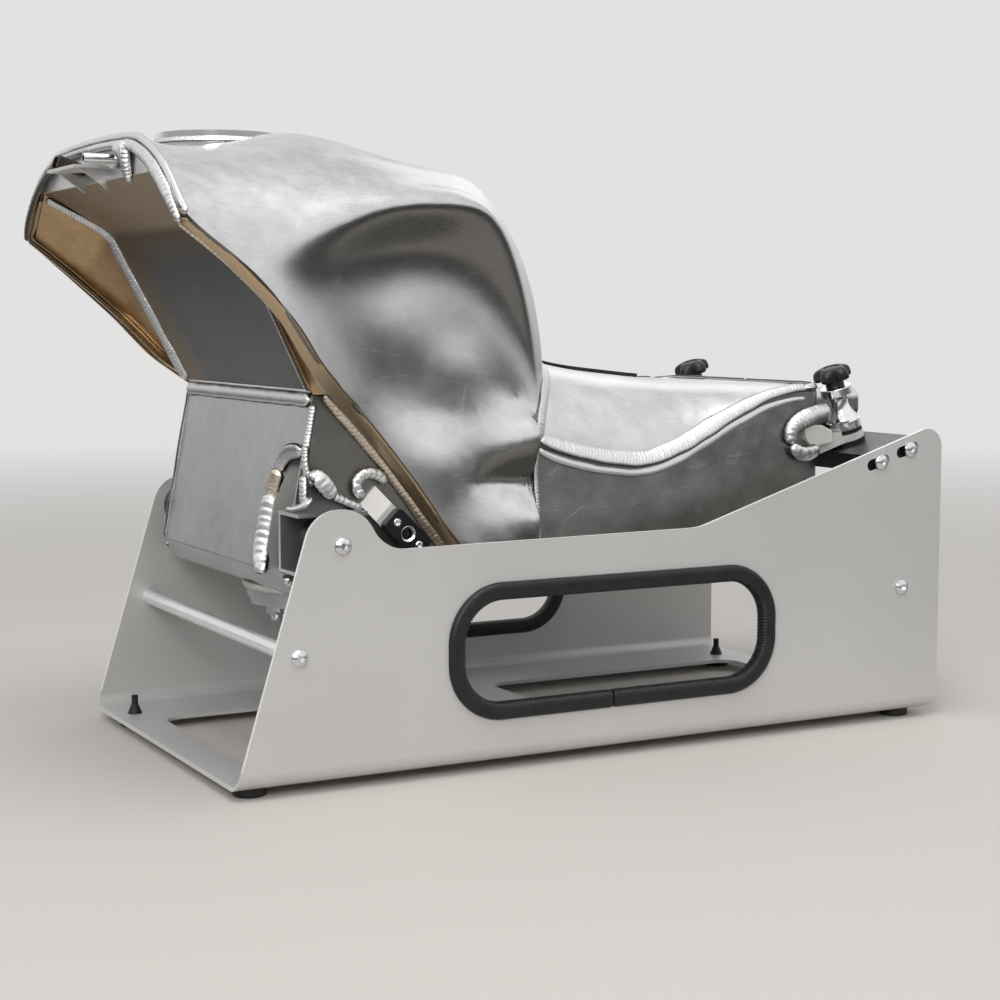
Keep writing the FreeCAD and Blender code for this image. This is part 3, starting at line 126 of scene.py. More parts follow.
grey = worked(tree, "MAXIMUM", smooth_range(tree, outside, 0.44, 0.85), smooth_range(tree, toward, 0.56, 0.80))
mirrored_grey = worked(tree, "MULTIPLY", grey, path["Is Glossy Ray"])
floor_tone = tinted(tree, mirrored_grey, (0.57, 0.54, 0.50, 1), (0.12, 0.12, 0.125, 1))
tree.links.new(floor_tone, floor_shader.inputs["Base Color"])
haze_tone = tinted(tree, mirrored_grey, (0.76, 0.757, 0.75, 1), (0.13, 0.13, 0.135, 1))
haze = wired(tree, "ShaderNodeEmission", {}, {"Color": haze_tone})
floor_mix = wired(tree, "ShaderNodeMixShader", {}, {0: faded, 1: floor_shader.outputs[0], 2: haze.outputs[0]})
tree.links.new(floor_mix.outputs[0], tree.nodes["Material Output"].inputs["Surface"])
floor_mesh.materials.append(floor_paint)

room = bpy.data.worlds.new("pale_studio")
room.use_nodes = True
bpy.context.scene.world = room
tree = room.node_tree
tree.nodes.clear()
way = wired(tree, "ShaderNodeTexCoord").outputs["Generated"]
up = wired(tree, "ShaderNodeSeparateXYZ", {}, {0: way}).outputs["Z"]
path = wired(tree, "ShaderNodeLightPath").outputs
behind = smooth_range(tree, share_along(tree, way, to_camera), -0.85, -0.10)
side = worked(tree, "MULTIPLY", behind, path["Is Glossy Ray"])
shaded = worked(tree, "MULTIPLY", side, smooth_range(tree, up, 0.28, -0.02))
room_tone = tinted(tree, side, (0.76, 0.76, 0.76, 1), (0.98, 0.98, 0.98, 1))
pale = wired(tree, "ShaderNodeBackground", {}, {"Color": tinted(tree, shaded, room_tone, (0.12, 0.125, 0.135, 1))})
lit = wired(tree, "ShaderNodeBackground", {"Color": (0.95, 0.97, 1.0, 1), "Strength": 0.55})
seen = worked(tree, "MAXIMUM", path["Is Camera Ray"], path["Is Glossy Ray"])
mix = wired(tree, "ShaderNodeMixShader", {}, {0: seen, 1: lit.outputs[0], 2: pale.outputs[0]})
wired(tree, "ShaderNodeOutputWorld", {}, {0: mix.outputs[0]})


def soft_lamp(name, place, aim, width, power):
    """A wide square lamp at place that faces aim."""
    data = bpy.data.lights.new(name, "AREA")
    data.size = width
    data.energy = power
    lamp = bpy.data.objects.new(name, data)
    lamp.location = place
    lamp.rotation_euler = (Vector(aim) - Vector(place)).to_track_quat("-Z", "Y").to_euler()
    bpy.context.collection.objects.link(lamp)


soft_lamp("lamp_overhead", (-0.25, -0.55, 1.85), (0, 0, 0.2), 1.2, 17)
soft_lamp("lamp_left", (-1.5, -1.9, 1.3), (0, 0, 0.2), 0.9, 24)
soft_lamp("lamp_behind", (1.4, 1.3, 1.3), (0, 0, 0.25), 1.0, 2)


# Folded stand: one aluminium sheet, cut with its slots and openings and bent to a U, blasted and
# coated in a warm silver. The skin is satin, and its cut edges carry a painted highlight.
def patterned_metal(name, colour, metallic, rough, groups, gloss=0.5):
    """A material whose shader is fed by pattern groups: (group, {input: value}, {output: shader socket})."""
    material = bpy.data.materials.new(name)
    material.use_nodes = True
    tree = material.node_tree
    shader = tree.nodes["Principled BSDF"]
    shader.inputs["Base Color"].default_value = (*colour, 1)
    shader.inputs["Metallic"].default_value = metallic
    shader.inputs["Roughness"].default_value = rough
    shader.inputs["Specular IOR Level"].default_value = gloss
    for group, values, wires in groups:
        box = wired(tree, "ShaderNodeGroup", {}, {}, node_tree=group)
        for socket, value in values.items():
            box.inputs[socket].default_value = value
        for source, target in wires.items():
            if target == "Bump":
                bump = wired(tree, "ShaderNodeBump", {"Strength": 1.0, "Distance": 1.0},
                             {"Height": box.outputs[source]})
                tree.links.new(bump.outputs["Normal"], shader.inputs["Normal"])
            else:
                tree.links.new(box.outputs[source], shader.inputs[target])
    return material


def pattern_group(name, inputs, outputs):
    """An empty node group with named inputs (name, kind, value) and outputs (name, kind)."""
    group = bpy.data.node_groups.new(name, "ShaderNodeTree")
    for title, kind, value in inputs:
        socket = group.interface.new_socket(title, in_out="INPUT", socket_type=kind)
        socket.default_value = value
    for title, kind in outputs:
        group.interface.new_socket(title, in_out="OUTPUT", socket_type=kind)
    group.nodes.new("NodeGroupInput").name = "in"
    group.nodes.new("NodeGroupOutput").name = "out"
    return group


def scaled_noise(group, coords, scale, detail, stretch=None):
    """A noise texture on object coordinates; scale is a number or a group socket."""
    if stretch:
        coords = wired(group, "ShaderNodeMapping", {"Scale": stretch}, {"Vector": coords}).outputs["Vector"]
    texture = wired(group, "ShaderNodeTexNoise", {"Detail": detail}, {"Vector": coords})
    if isinstance(scale, (int, float)):
        texture.inputs["Scale"].default_value = scale
    else:
        group.links.new(scale, texture.inputs["Scale"])
    return texture.outputs["Fac"]


def parts_of(tree, kind, output):
    """The X, Y and Z of a texture coordinate or geometry output."""
    return wired(tree, "ShaderNodeSeparateXYZ", {}, {0: wired(tree, kind).outputs[output]}).outputs


def overlaid(material, factor, colour):
    """Lays one more colour over a material's base colour where factor is 1."""
    tree = material.node_tree
    base = tree.nodes["Principled BSDF"].inputs["Base Color"]
    tree.links.new(tinted(tree, factor, base.links[0].from_socket, colour), base)


# one pattern serves every coated, moulded, turned or rubbed surface: a slow tone change and a fine grain
surface_grain = pattern_group(
    "surface_grain",
    [("Colour Low", "NodeSocketColor", (0.4, 0.4, 0.4, 1)), ("Colour High", "NodeSocketColor", (0.5, 0.5, 0.5, 1)),
     ("Cloud Scale", "NodeSocketFloat", 14.0), ("Grain Scale", "NodeSocketFloat", 1800.0),
     ("Rough", "NodeSocketFloat", 0.45), ("Rough Swing", "NodeSocketFloat", 0.1),
     ("Relief", "NodeSocketFloat", 0.00004)],
    [("Colour", "NodeSocketColor"), ("Roughness", "NodeSocketFloat"), ("Height", "NodeSocketFloat")])
g = surface_grain
source = g.nodes["in"]
place = wired(g, "ShaderNodeTexCoord").outputs["Object"]
cloud = scaled_noise(g, place, source.outputs["Cloud Scale"], 4)
grain = scaled_noise(g, place, source.outputs["Grain Scale"], 2)
both = worked(g, "MULTIPLY_ADD", grain, 0.35, worked(g, "MULTIPLY", cloud, 0.65))
steep = worked(g, "MULTIPLY_ADD", both, 2.2, -0.6)
g.links.new(tinted(g, steep, source.outputs["Colour Low"], source.outputs["Colour High"]),
            g.nodes["out"].inputs["Colour"])
swing = worked(g, "MULTIPLY_ADD", worked(g, "SUBTRACT", cloud, 0.5), source.outputs["Rough Swing"],
               source.outputs["Rough"])
g.links.new(swing, g.nodes["out"].inputs["Roughness"])
g.links.new(worked(g, "MULTIPLY", grain, source.outputs["Relief"]), g.nodes["out"].inputs["Height"])


def grained(name, low, high, rough, swing=0.1, relief=0.00004, cloud=14.0, grain=1800.0, metallic=0.0, gloss=0.5):
    return patterned_metal(name, high, metallic, rough, [
        (surface_grain, {"Colour Low": (*low, 1), "Colour High": (*high, 1), "Cloud Scale": cloud, "Grain Scale": grain,
                         "Rough": rough, "Rough Swing": swing, "Relief": relief},
         {"Colour": "Base Color", "Roughness": "Roughness", "Height": "Bump"})], gloss)


def finish_nodes(names, material):
    for name in names:
        for place in nodes[name].material_slots:
            place.material = material


stand_coat = grained("stand_silver", (0.55, 0.54, 0.525), (0.62, 0.61, 0.595), 0.38, 0.08, 0.00002, 7.0, 3200.0, 0.3)
tree = stand_coat.node_tree
facing = parts_of(tree, "ShaderNodeNewGeometry", "Normal")
place = parts_of(tree, "ShaderNodeTexCoord", "Object")
# Painted highlight: the sheet's cut edge faces above the tray get a near-white base colour.
cut = worked(tree, "MULTIPLY", worked(tree, "LESS_THAN", worked(tree, "ABSOLUTE", facing["Y"]), 0.3),
             worked(tree, "GREATER_THAN", place["Z"], 0.018))
overlaid(stand_coat, cut, (0.90, 0.895, 0.88, 1))
finish_nodes(["stand_body"], stand_coat)


middle_x = 232.235
foot_height = 6.0


def stand_mm(x, y, z):
    """A point of the stand's own drawing, in millimetres, in the common frame."""
    return Vector((x - middle_x, y, z + foot_height)) / 1000


def piece_from(name, bm, material, body, smooth=True):
    """Turns a finished bmesh into a piece that rides on a body."""
    bmesh.ops.recalc_face_normals(bm, faces=bm.faces)
    mesh = bpy.data.meshes.new(name)
    bm.to_mesh(mesh)
    bm.free()
    mesh.materials.append(material)
    for face in mesh.polygons:
        face.use_smooth = smooth
    piece = bpy.data.objects.new(name, mesh)
    bpy.context.collection.objects.link(piece)
    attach(piece, body)
    return piece


# Handle trims: black PVC edge trim with a wire core, pushed over the rim of each handle opening.
# Its back is leather grained, its inner shoulder is notched so it bends, and the ends butt.
trim_vinyl = grained("trim_vinyl", (0.006, 0.006, 0.007), (0.018, 0.018, 0.019), 0.42, 0.3, 0.00022, 90.0, 900.0, 0.0,
                     0.35)
trim_middle = (259.5, 69.7)
trim_straight = (85.0, 6.1)
trim_bend = 31.0
for word, side in (("left", -1), ("right", 1)):
    quarter = math.pi / 2 * trim_bend
    runs = [170.0, quarter, 12.2, quarter, 170.0, quarter, 12.2, quarter]
    around = sum(runs)
    seam_from = 90.3
    stations = 1060
    ribs = 258
    outline = 22
    bm = bmesh.new()
    bmesh.ops.create_grid(bm, x_segments=stations, y_segments=outline, size=1)
    ordered = sorted(bm.verts, key=lambda vert: (round(vert.co.x, 6), vert.co.y))
    for i in range(stations + 1):
        left = (seam_from + 0.35 + (around - 0.7) * i / stations) % around
        run = 0
        while left > runs[run]:
            left -= runs[run]
            run += 1
        corner = run // 2
        turn = corner * math.pi / 2
        if run % 2:
            turn += left / trim_bend
        way = (-math.cos(turn), math.sin(turn))
        out = (-way[1], way[0])
        centres = ((1, -1), (-1, -1), (-1, 1), (1, 1))
        near = centres[(corner + 1) % 4] if run % 2 else centres[corner % 4]
        spot = [trim_middle[k] + near[k] * trim_straight[k] for k in (0, 1)]
        if run % 2 == 0:
            spot = [spot[k] + way[k] * left for k in (0, 1)]
        tip = 1.0 - 0.16 * max(0.0, 1 - min(i, stations - i) / 2.5)
        notch = abs(math.sin(math.pi * ribs * i / stations))
        crumple = (0.5 + 0.5 * noise.noise(Vector((i * 0.21, side * 3.0, 0)))) * (0.5 if run % 2 else 0.12)
        for j in range(outline + 1):
            angle = 2 * math.pi * j / outline
            round_x = math.copysign(abs(math.cos(angle)) ** 0.62, math.cos(angle))
            round_y = math.copysign(abs(math.sin(angle)) ** 0.62, math.sin(angle))
            inner = max(0.0, -round_x) ** 1.5
            dent = (1 - notch) * (0.9 * inner + 0.22)
            deep = 0.35 + 5.75 * round_x * tip + math.copysign(dent, -round_x)
            thick = 5.15 * round_y * tip * (1 - 0.12 * inner * (1 - notch)) + 0.3 * crumple * round_y
            reach = trim_bend + deep
            ordered[i * (outline + 1) + j].co = stand_mm(spot[0] + out[0] * reach, side * (139.15 + thick),
                      spot[1] + out[1] * reach)
    bmesh.ops.remove_doubles(bm, verts=bm.verts, dist=0.000002)
    bmesh.ops.holes_fill(bm, edges=[edge for edge in bm.edges if edge.is_boundary], sides=0)
    trim = piece_from("notched_trim_" + word, bm, trim_vinyl, "stand")
    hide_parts("handle_trim_" + word)

# Cross rods: drawn bright bars between the sides, each held by a screw at both ends. The
# knobs' studs have the same finish.
rod_metal = grained("drawn_rod", (0.80, 0.80, 0.81), (0.92, 0.92, 0.93), 0.30, 0.12, 0.00002, 60.0, 2200.0, 0.6)
finish_nodes(["front_cross_rod", "rear_cross_rod", "post_stud_left", "post_stud_right"], rod_metal)

# Support bosses: moulded black plastic drums screwed inside the stand's sides, over which the
# tank's channels drop.
black_moulded = grained("black_moulded", (0.008, 0.008, 0.009), (0.020, 0.020, 0.022), 0.36, 0.2, 0.00004, 40.0, 1400.0,
                        0.0, 0.35)
finish_nodes(["support_boss_left", "support_boss_right"], black_moulded)

# Screws: zinc plated steel button heads with a hexagon socket, screwed into rods, bosses and
# crossbar; the fuel outlet is plated alike.
screw_zinc = grained("zinc_plate", (0.60, 0.60, 0.62), (0.80, 0.80, 0.82), 0.18, 0.15, 0.00001, 300.0, 3000.0, 1.0)
finish_nodes(["cross_rod_screws", "crossbar_screws", "support_boss_screws", "pump_screws", "fuel_outlet"], screw_zinc)

# Crossbar: black anodised flat bar under the posts, with fine saw and mill lines; the fairing
# blocks have the same finish
black_anodised = grained("black_anodised", (0.010, 0.010, 0.012), (0.024, 0.024, 0.027), 0.30, 0.2, 0.00002, 40.0,
                         2400.0, 0.5)
finish_nodes(["rear_crossbar", "fairing_block_left", "fairing_block_right"], black_anodised)

# Rubber feet: pulled up through the tray until their cone snaps in; pads, grommets, the filler
# seal and the foam strip on the saddle share the rubber
rubber = grained("black_rubber", (0.006, 0.006, 0.006), (0.015, 0.015, 0.015), 0.55, 0.2, 0.00008, 60.0, 1500.0, 0.0,
                 0.35)
finish_nodes(["rubber_feet", "post_pads", "post_grommets", "filler_seal", "foam_strip"], rubber)

# Tank sheet: aluminium formed by hand over a buck, planished, then rubbed down. The skin is
# satin with cloudy patches, shallow hammer waves, fine rub marks and a few longer scratches.
worked_sheet = pattern_group(
    "worked_sheet",
    [("Colour Low", "NodeSocketColor", (0.5, 0.5, 0.5, 1)), ("Colour High", "NodeSocketColor", (0.7, 0.7, 0.7, 1)),
     ("Rough", "NodeSocketFloat", 0.36), ("Rough Swing", "NodeSocketFloat", 0.3), ("Waves", "NodeSocketFloat", 0.0005),
     ("Scratches", "NodeSocketFloat", 0.00001)],
    [("Colour", "NodeSocketColor"), ("Roughness", "NodeSocketFloat"), ("Height", "NodeSocketFloat")])
g = worked_sheet
source = g.nodes["in"]
place = wired(g, "ShaderNodeTexCoord").outputs["Object"]
patches = scaled_noise(g, place, 13.0, 5)
smears = scaled_noise(g, place, 75.0, 6)
rubbed = scaled_noise(g, place, 150.0, 5, (1.0, 1.0, 8.0))
cross_rubbed = scaled_noise(g, place, 150.0, 5, (8.0, 1.0, 1.0))
hammer = scaled_noise(g, place, 20.0, 1)
bent = scaled_noise(g, place, 9.0, 2)
swirl = wired(g, "ShaderNodeVectorMath", {}, {0: place}, operation="SCALE")
g.links.new(worked(g, "MULTIPLY_ADD", bent, 0.5, 1.0), swirl.inputs["Scale"])
marks = wired(g, "ShaderNodeTexVoronoi", {"Scale": 34.0}, {"Vector": wired(
    g, "ShaderNodeMapping", {"Scale": (0.25, 1.0, 1.6), "Rotation": (0.5, 0.7, 0.3)},
              {"Vector": swirl.outputs[0]}).outputs[0]},
    feature="DISTANCE_TO_EDGE")
scratch = worked(g, "SUBTRACT", 1.0, wired(g, "ShaderNodeMapRange", {"From Min": 0.0, "From Max": 0.012},
                                           {"Value": marks.outputs["Distance"]}).outputs[0])
broken = worked(g, "MULTIPLY", scratch, worked(g, "GREATER_THAN", smears, 0.53))
blend_a = worked(g, "MULTIPLY_ADD", patches, 0.55, worked(g, "MULTIPLY", smears, 0.45))
blend_b = worked(g, "MULTIPLY_ADD", rubbed, 0.22, worked(g, "MULTIPLY", blend_a, 0.78))
steep = worked(g, "MULTIPLY_ADD", blend_b, 3.4, -1.2)
g.links.new(tinted(g, steep, source.outputs["Colour Low"], source.outputs["Colour High"]),
            g.nodes["out"].inputs["Colour"])
swing = worked(g, "MULTIPLY_ADD", worked(g, "SUBTRACT", blend_b, 0.5), source.outputs["Rough Swing"],
               source.outputs["Rough"])
g.links.new(worked(g, "MULTIPLY_ADD", broken, 0.12, swing), g.nodes["out"].inputs["Roughness"])
lines = worked(g, "MULTIPLY", worked(g, "SUBTRACT", worked(g, "ADD", rubbed, cross_rubbed), broken),
               source.outputs["Scratches"])
g.links.new(worked(g, "MULTIPLY_ADD", hammer, source.outputs["Waves"], lines), g.nodes["out"].inputs["Height"])


def worked_aluminium(name, low, high, rough, swing, waves, scratches):
    return patterned_metal(name, high, 1.0, rough, [
        (worked_sheet, {"Colour Low": (*low, 1), "Colour High": (*high, 1), "Rough": rough, "Rough Swing": swing,
                        "Waves": waves, "Scratches": scratches},
         {"Colour": "Base Color", "Roughness": "Roughness", "Height": "Bump"})])


def shaded_below(material, shade_tone):
    """Painted shade: faces that turn downward get a darker base colour, so undersides and hollows look shaded."""
    tree = material.node_tree
    shader = tree.nodes["Principled BSDF"]
    lit_share = smooth_range(tree, parts_of(tree, "ShaderNodeTexCoord", "Normal")["Z"], -0.34, 0.34)
    unshaded_colour = shader.inputs["Base Color"].links[0].from_socket
    tree.links.new(tinted(tree, lit_share, (*shade_tone, 1), unshaded_colour), shader.inputs["Base Color"])
    return material


# The shell's base colour carries painted shade on its undersides and in its hollows.
tank_skin = shaded_below(worked_aluminium("planished_sheet", (0.56, 0.56, 0.57), (0.78, 0.78, 0.785), 0.30, 0.30,
          0.0007,
                                          0.000025), (0.20, 0.195, 0.185))
finish_nodes(["saddle_skin", "tail_nose", "slosh_baffle"], tank_skin)
box_skin = worked_aluminium("folded_sheet", (0.44, 0.445, 0.45), (0.60, 0.605, 0.61), 0.38, 0.3, 0.00015, 0.00003)
finish_nodes(["tank_floor", "sump_box", "mount_pocket", "pump_ring", "pump_plate"], box_skin)
tree = box_skin.node_tree
facing = parts_of(tree, "ShaderNodeTexCoord", "Normal")
# Painted shade: faces turned to either side get a darker base colour.
side_shade_mask = worked(tree, "GREATER_THAN", worked(tree, "ABSOLUTE", facing["Y"]), 0.7)
overlaid(box_skin, side_shade_mask, (0.27, 0.265, 0.25, 1))
cell_skin = worked_aluminium("cell_sheet", (0.30, 0.30, 0.29), (0.50, 0.50, 0.485), 0.34, 0.3, 0.00025, 0.00003)
finish_nodes(["rear_wall"], cell_skin)
# Painted shade: the recess ceiling's base colour is near black for the shade in the pocket; towards the top and the far
# side it is painted a lighter warm brown.
recess_skin = worked_aluminium("recess_sheet", (0.11, 0.118, 0.125), (0.19, 0.20, 0.21), 0.42, 0.3, 0.00015, 0.00003)
tree = recess_skin.node_tree
place = parts_of(tree, "ShaderNodeTexCoord", "Object")
upper = smooth_range(tree, place["Z"], 0.305, 0.345)
far_side = smooth_range(tree, place["Y"], 0.055, 0.10)
warm = worked(tree, "MAXIMUM", upper, worked(tree, "MULTIPLY", far_side, 0.8))
overlaid(recess_skin, warm, (0.27, 0.20, 0.13, 1))
finish_nodes(["airbox_ceiling"], recess_skin)
# The rim lip's tan is a painted warm reflection.
lip_skin = worked_aluminium("lip_sheet", (0.46, 0.36, 0.24), (0.66, 0.54, 0.38), 0.36, 0.3, 0.0002, 0.00003)
finish_nodes(["rim_lip_left", "rim_lip_right"], lip_skin)
# The side panels' tan is a painted warm reflection.
side_skin = worked_aluminium("side_sheet", (0.40, 0.27, 0.145), (0.64, 0.45, 0.26), 0.40, 0.3, 0.0002, 0.00003)
finish_nodes(["airbox_side_left", "airbox_side_right"], side_skin)
bright_skin = worked_aluminium("bright_sheet", (0.66, 0.66, 0.65), (0.86, 0.86, 0.85), 0.38, 0.2, 0.0001, 0.00003)
finish_nodes(["forehead_plate", "front_gussets", "front_shelf"], bright_skin)
brushed = grained("brushed_strip", (0.66, 0.64, 0.61), (0.86, 0.84, 0.81), 0.40, 0.15, 0.00002, 60.0, 2200.0, 0.45)
finish_nodes(["rear_lug_left", "rear_lug_right", "fairing_tab_left", "fairing_tab_right"], brushed)
turned = grained("turned_aluminium", (0.78, 0.78, 0.79), (0.90, 0.90, 0.91), 0.12, 0.1, 0.000006, 80.0, 2600.0, 1.0)
finish_nodes(["breather_tube", "filler_neck", "filler_cap",
              "post_bell_left", "post_bell_right", "post_collar_left", "post_collar_right"], turned)
# Painted shade: the channels' dark base colour stands for the shade inside the fork.
milled = grained("milled_aluminium", (0.26, 0.265, 0.27), (0.38, 0.385, 0.39), 0.34, 0.15, 0.00001, 60.0, 2000.0, 0.8)
tree = milled.node_tree
facing = parts_of(tree, "ShaderNodeTexCoord", "Normal")
# Painted highlight: faces turned forward or back get a near-white base colour, for the lit flange edges.
cut = worked(tree, "GREATER_THAN", worked(tree, "ABSOLUTE", facing["X"]), 0.8)
overlaid(milled, cut, (0.86, 0.86, 0.86, 1))
finish_nodes(["boss_channel_left", "boss_channel_right"], milled)

# Weld beads: the fuel-tight seams are laid by hand with filler wire, one small puddle after
# another, so each seam is a low rib of overlapping crescents with a thin dark toe at both sides.
laid_weld = pattern_group(
    "laid_weld",
    [("Valley", "NodeSocketColor", (0.5, 0.5, 0.5, 1)), ("Crest", "NodeSocketColor", (0.9, 0.9, 0.9, 1)),
     ("Toe", "NodeSocketColor", (0.15, 0.13, 0.11, 1)), ("Rough", "NodeSocketFloat", 0.3)],
    [("Colour", "NodeSocketColor"), ("Roughness", "NodeSocketFloat"), ("Height", "NodeSocketFloat")])
g = laid_weld
source = g.nodes["in"]
coords = wired(g, "ShaderNodeTexCoord")
across = wired(g, "ShaderNodeSeparateXYZ", {}, {0: coords.outputs["UV"]})
puddle = worked(g, "FRACT", across.outputs["X"])
frost = scaled_noise(g, coords.outputs["Object"], 420.0, 3)
# Painted light and shade on the ripples: each puddle is dark in its valley and light at its crest.
crest = worked(g, "MULTIPLY_ADD", frost, 0.5, worked(g, "MULTIPLY", worked(g, "POWER", puddle, 0.7), 0.8))
# The dark toe at both edges is partly oxide and partly painted shade in the undercut.
away = worked(g, "ABSOLUTE", worked(g, "SUBTRACT", across.outputs["Y"], 0.5))
toe = wired(g, "ShaderNodeMapRange", {"From Min": 0.40, "From Max": 0.475}, {"Value": away},
            interpolation_type="SMOOTHSTEP")
body = tinted(g, crest, source.outputs["Valley"], source.outputs["Crest"])
g.links.new(tinted(g, toe.outputs["Result"], body, source.outputs["Toe"]), g.nodes["out"].inputs["Colour"])
g.links.new(worked(g, "MULTIPLY_ADD", frost, 0.2, source.outputs["Rough"]), g.nodes["out"].inputs["Roughness"])
g.links.new(worked(g, "MULTIPLY", frost, 0.00008), g.nodes["out"].inputs["Height"])


def weld_metal(name, valley, crest, toe, rough):
    return patterned_metal(name, crest, 1.0, rough, [
        (laid_weld, {"Valley": (*valley, 1), "Crest": (*crest, 1), "Toe": (*toe, 1), "Rough": rough},
         {"Colour": "Base Color", "Roughness": "Roughness", "Height": "Bump"})])


bead_metal = weld_metal("weld_bead", (0.44, 0.44, 0.44), (0.84, 0.84, 0.84), (0.11, 0.10, 0.08), 0.30)
# The tan of this bead and of the rim land is a painted warm reflection.
bead_warm_reflection = weld_metal("weld_bead_warm", (0.36, 0.29, 0.21), (0.82, 0.74, 0.62), (0.10, 0.07, 0.04), 0.28)
rolled_metal = weld_metal("rolled_edge", (0.62, 0.62, 0.62), (0.78, 0.78, 0.78), (0.56, 0.56, 0.56), 0.24)
land_warm_reflection = weld_metal("rim_land", (0.42, 0.31, 0.19), (0.64, 0.50, 0.34), (0.16, 0.11, 0.06), 0.30)


def stations_along(rows, step):
    """Evenly spaced rows on a smooth line through rows of numbers, whose first three are the place."""
    dense = []
    for i in range(len(rows) - 1):
        a, b, c, d = rows[max(i - 1, 0)], rows[i], rows[i + 1], rows[min(i + 2, len(rows) - 1)]
        for part in range(40):
            t = part / 40
            dense.append([0.5 * (2 * q + (r - p) * t + (2 * p - 5 * q + 4 * r - s) * t * t
                                 + (3 * q - p - 3 * r + s) * t ** 3)
                          for p, q, r, s in zip(a, b, c, d)])
    dense.append(list(rows[-1]))
    lengths = [0.0]
    for i in range(1, len(dense)):
        lengths.append(lengths[-1] + math.dist(dense[i][:3], dense[i - 1][:3]))
    count = max(int(lengths[-1] / step), 3)
    places = []
    at = 0
    for i in range(count + 1):
        want = lengths[-1] * i / count
        while at < len(lengths) - 2 and lengths[at + 1] < want:
            at += 1
        t = (want - lengths[at]) / max(lengths[at + 1] - lengths[at], 1e-9)
        places.append(([p + (q - p) * t for p, q in zip(dense[at], dense[at + 1])], want))
    return places, lengths[-1]


def weld_bead(name, route, facing, width=7.0, rise=1.9, pitch=2.4, seed=0.0, metal=None, ripple=1.0, body="tank"):
    """Lays one seam along route, in the stand's millimetres; facing is the way out of the metal and
    width the seam's width, each given once or for every point of the route."""
    facing = [facing] * len(route) if isinstance(facing[0], (int, float)) else facing
    width = [width] * len(route) if isinstance(width, (int, float)) else width
    places, length = stations_along([[*spot, *way, wide] for spot, way, wide in zip(route, facing, width)],
                                    pitch / 5 if ripple else 2.0)
    sides = 14
    bm = bmesh.new()
    bmesh.ops.create_grid(bm, x_segments=len(places) - 1, y_segments=sides, size=1)
    ordered = sorted(bm.verts, key=lambda vert: (round(vert.co.x, 6), vert.co.y))
    laid = {}
    for i, (row, along) in enumerate(places):
        spot = stand_mm(*row[:3])
        ahead = (stand_mm(*places[min(i + 1, len(places) - 1)][0][:3]) - stand_mm(*places[max(i - 1,
                  0)][0][:3])).normalized()
        beside = ahead.cross(Vector(row[3:6])).normalized()
        up = beside.cross(ahead).normalized()
        wander = noise.noise(Vector((along * 0.09, seed, 0))) * 0.6
        swell = 1 + noise.noise(Vector((along * 0.06, seed, 7))) * 0.14
        taper = math.sqrt(min(max(min(along, length - along) / (0.35 * row[6]), 0.05), 1.0))
        for j in range(sides + 1):
            angle = 2 * math.pi * j / sides
            lateral = math.cos(angle)
            top = math.sin(angle)
            phase = (along - 0.30 * row[6] * (1 - lateral * lateral) * (top > -0.1)) / pitch + wander
            crest = math.sqrt(max(0.0, 1 - (1 - phase % 1.0) ** 2))
            tall = rise * (1 - 0.34 * ripple * (1 - crest)) * top ** 0.8 if top > 0 else rise * 0.5 * top
            wide = row[6] / 2 * (1 - 0.10 * ripple * (1 - crest)) * swell
            vert = ordered[i * (sides + 1) + j]
            vert.co = spot + beside * (lateral * wide * taper / 1000) + up * (tall * taper / 1000)
            laid[vert] = (phase if ripple else 0.4, (lateral + 1) / 2)
    seam_map = bm.loops.layers.uv.new("along_seam")
    for face in bm.faces:
        for loop in face.loops:
            loop[seam_map].uv = laid[loop.vert]
    bmesh.ops.remove_doubles(bm, verts=bm.verts, dist=0.000002)
    bmesh.ops.holes_fill(bm, edges=[edge for edge in bm.edges if edge.is_boundary], sides=0)
    return piece_from(name, bm, metal or bead_metal, body)


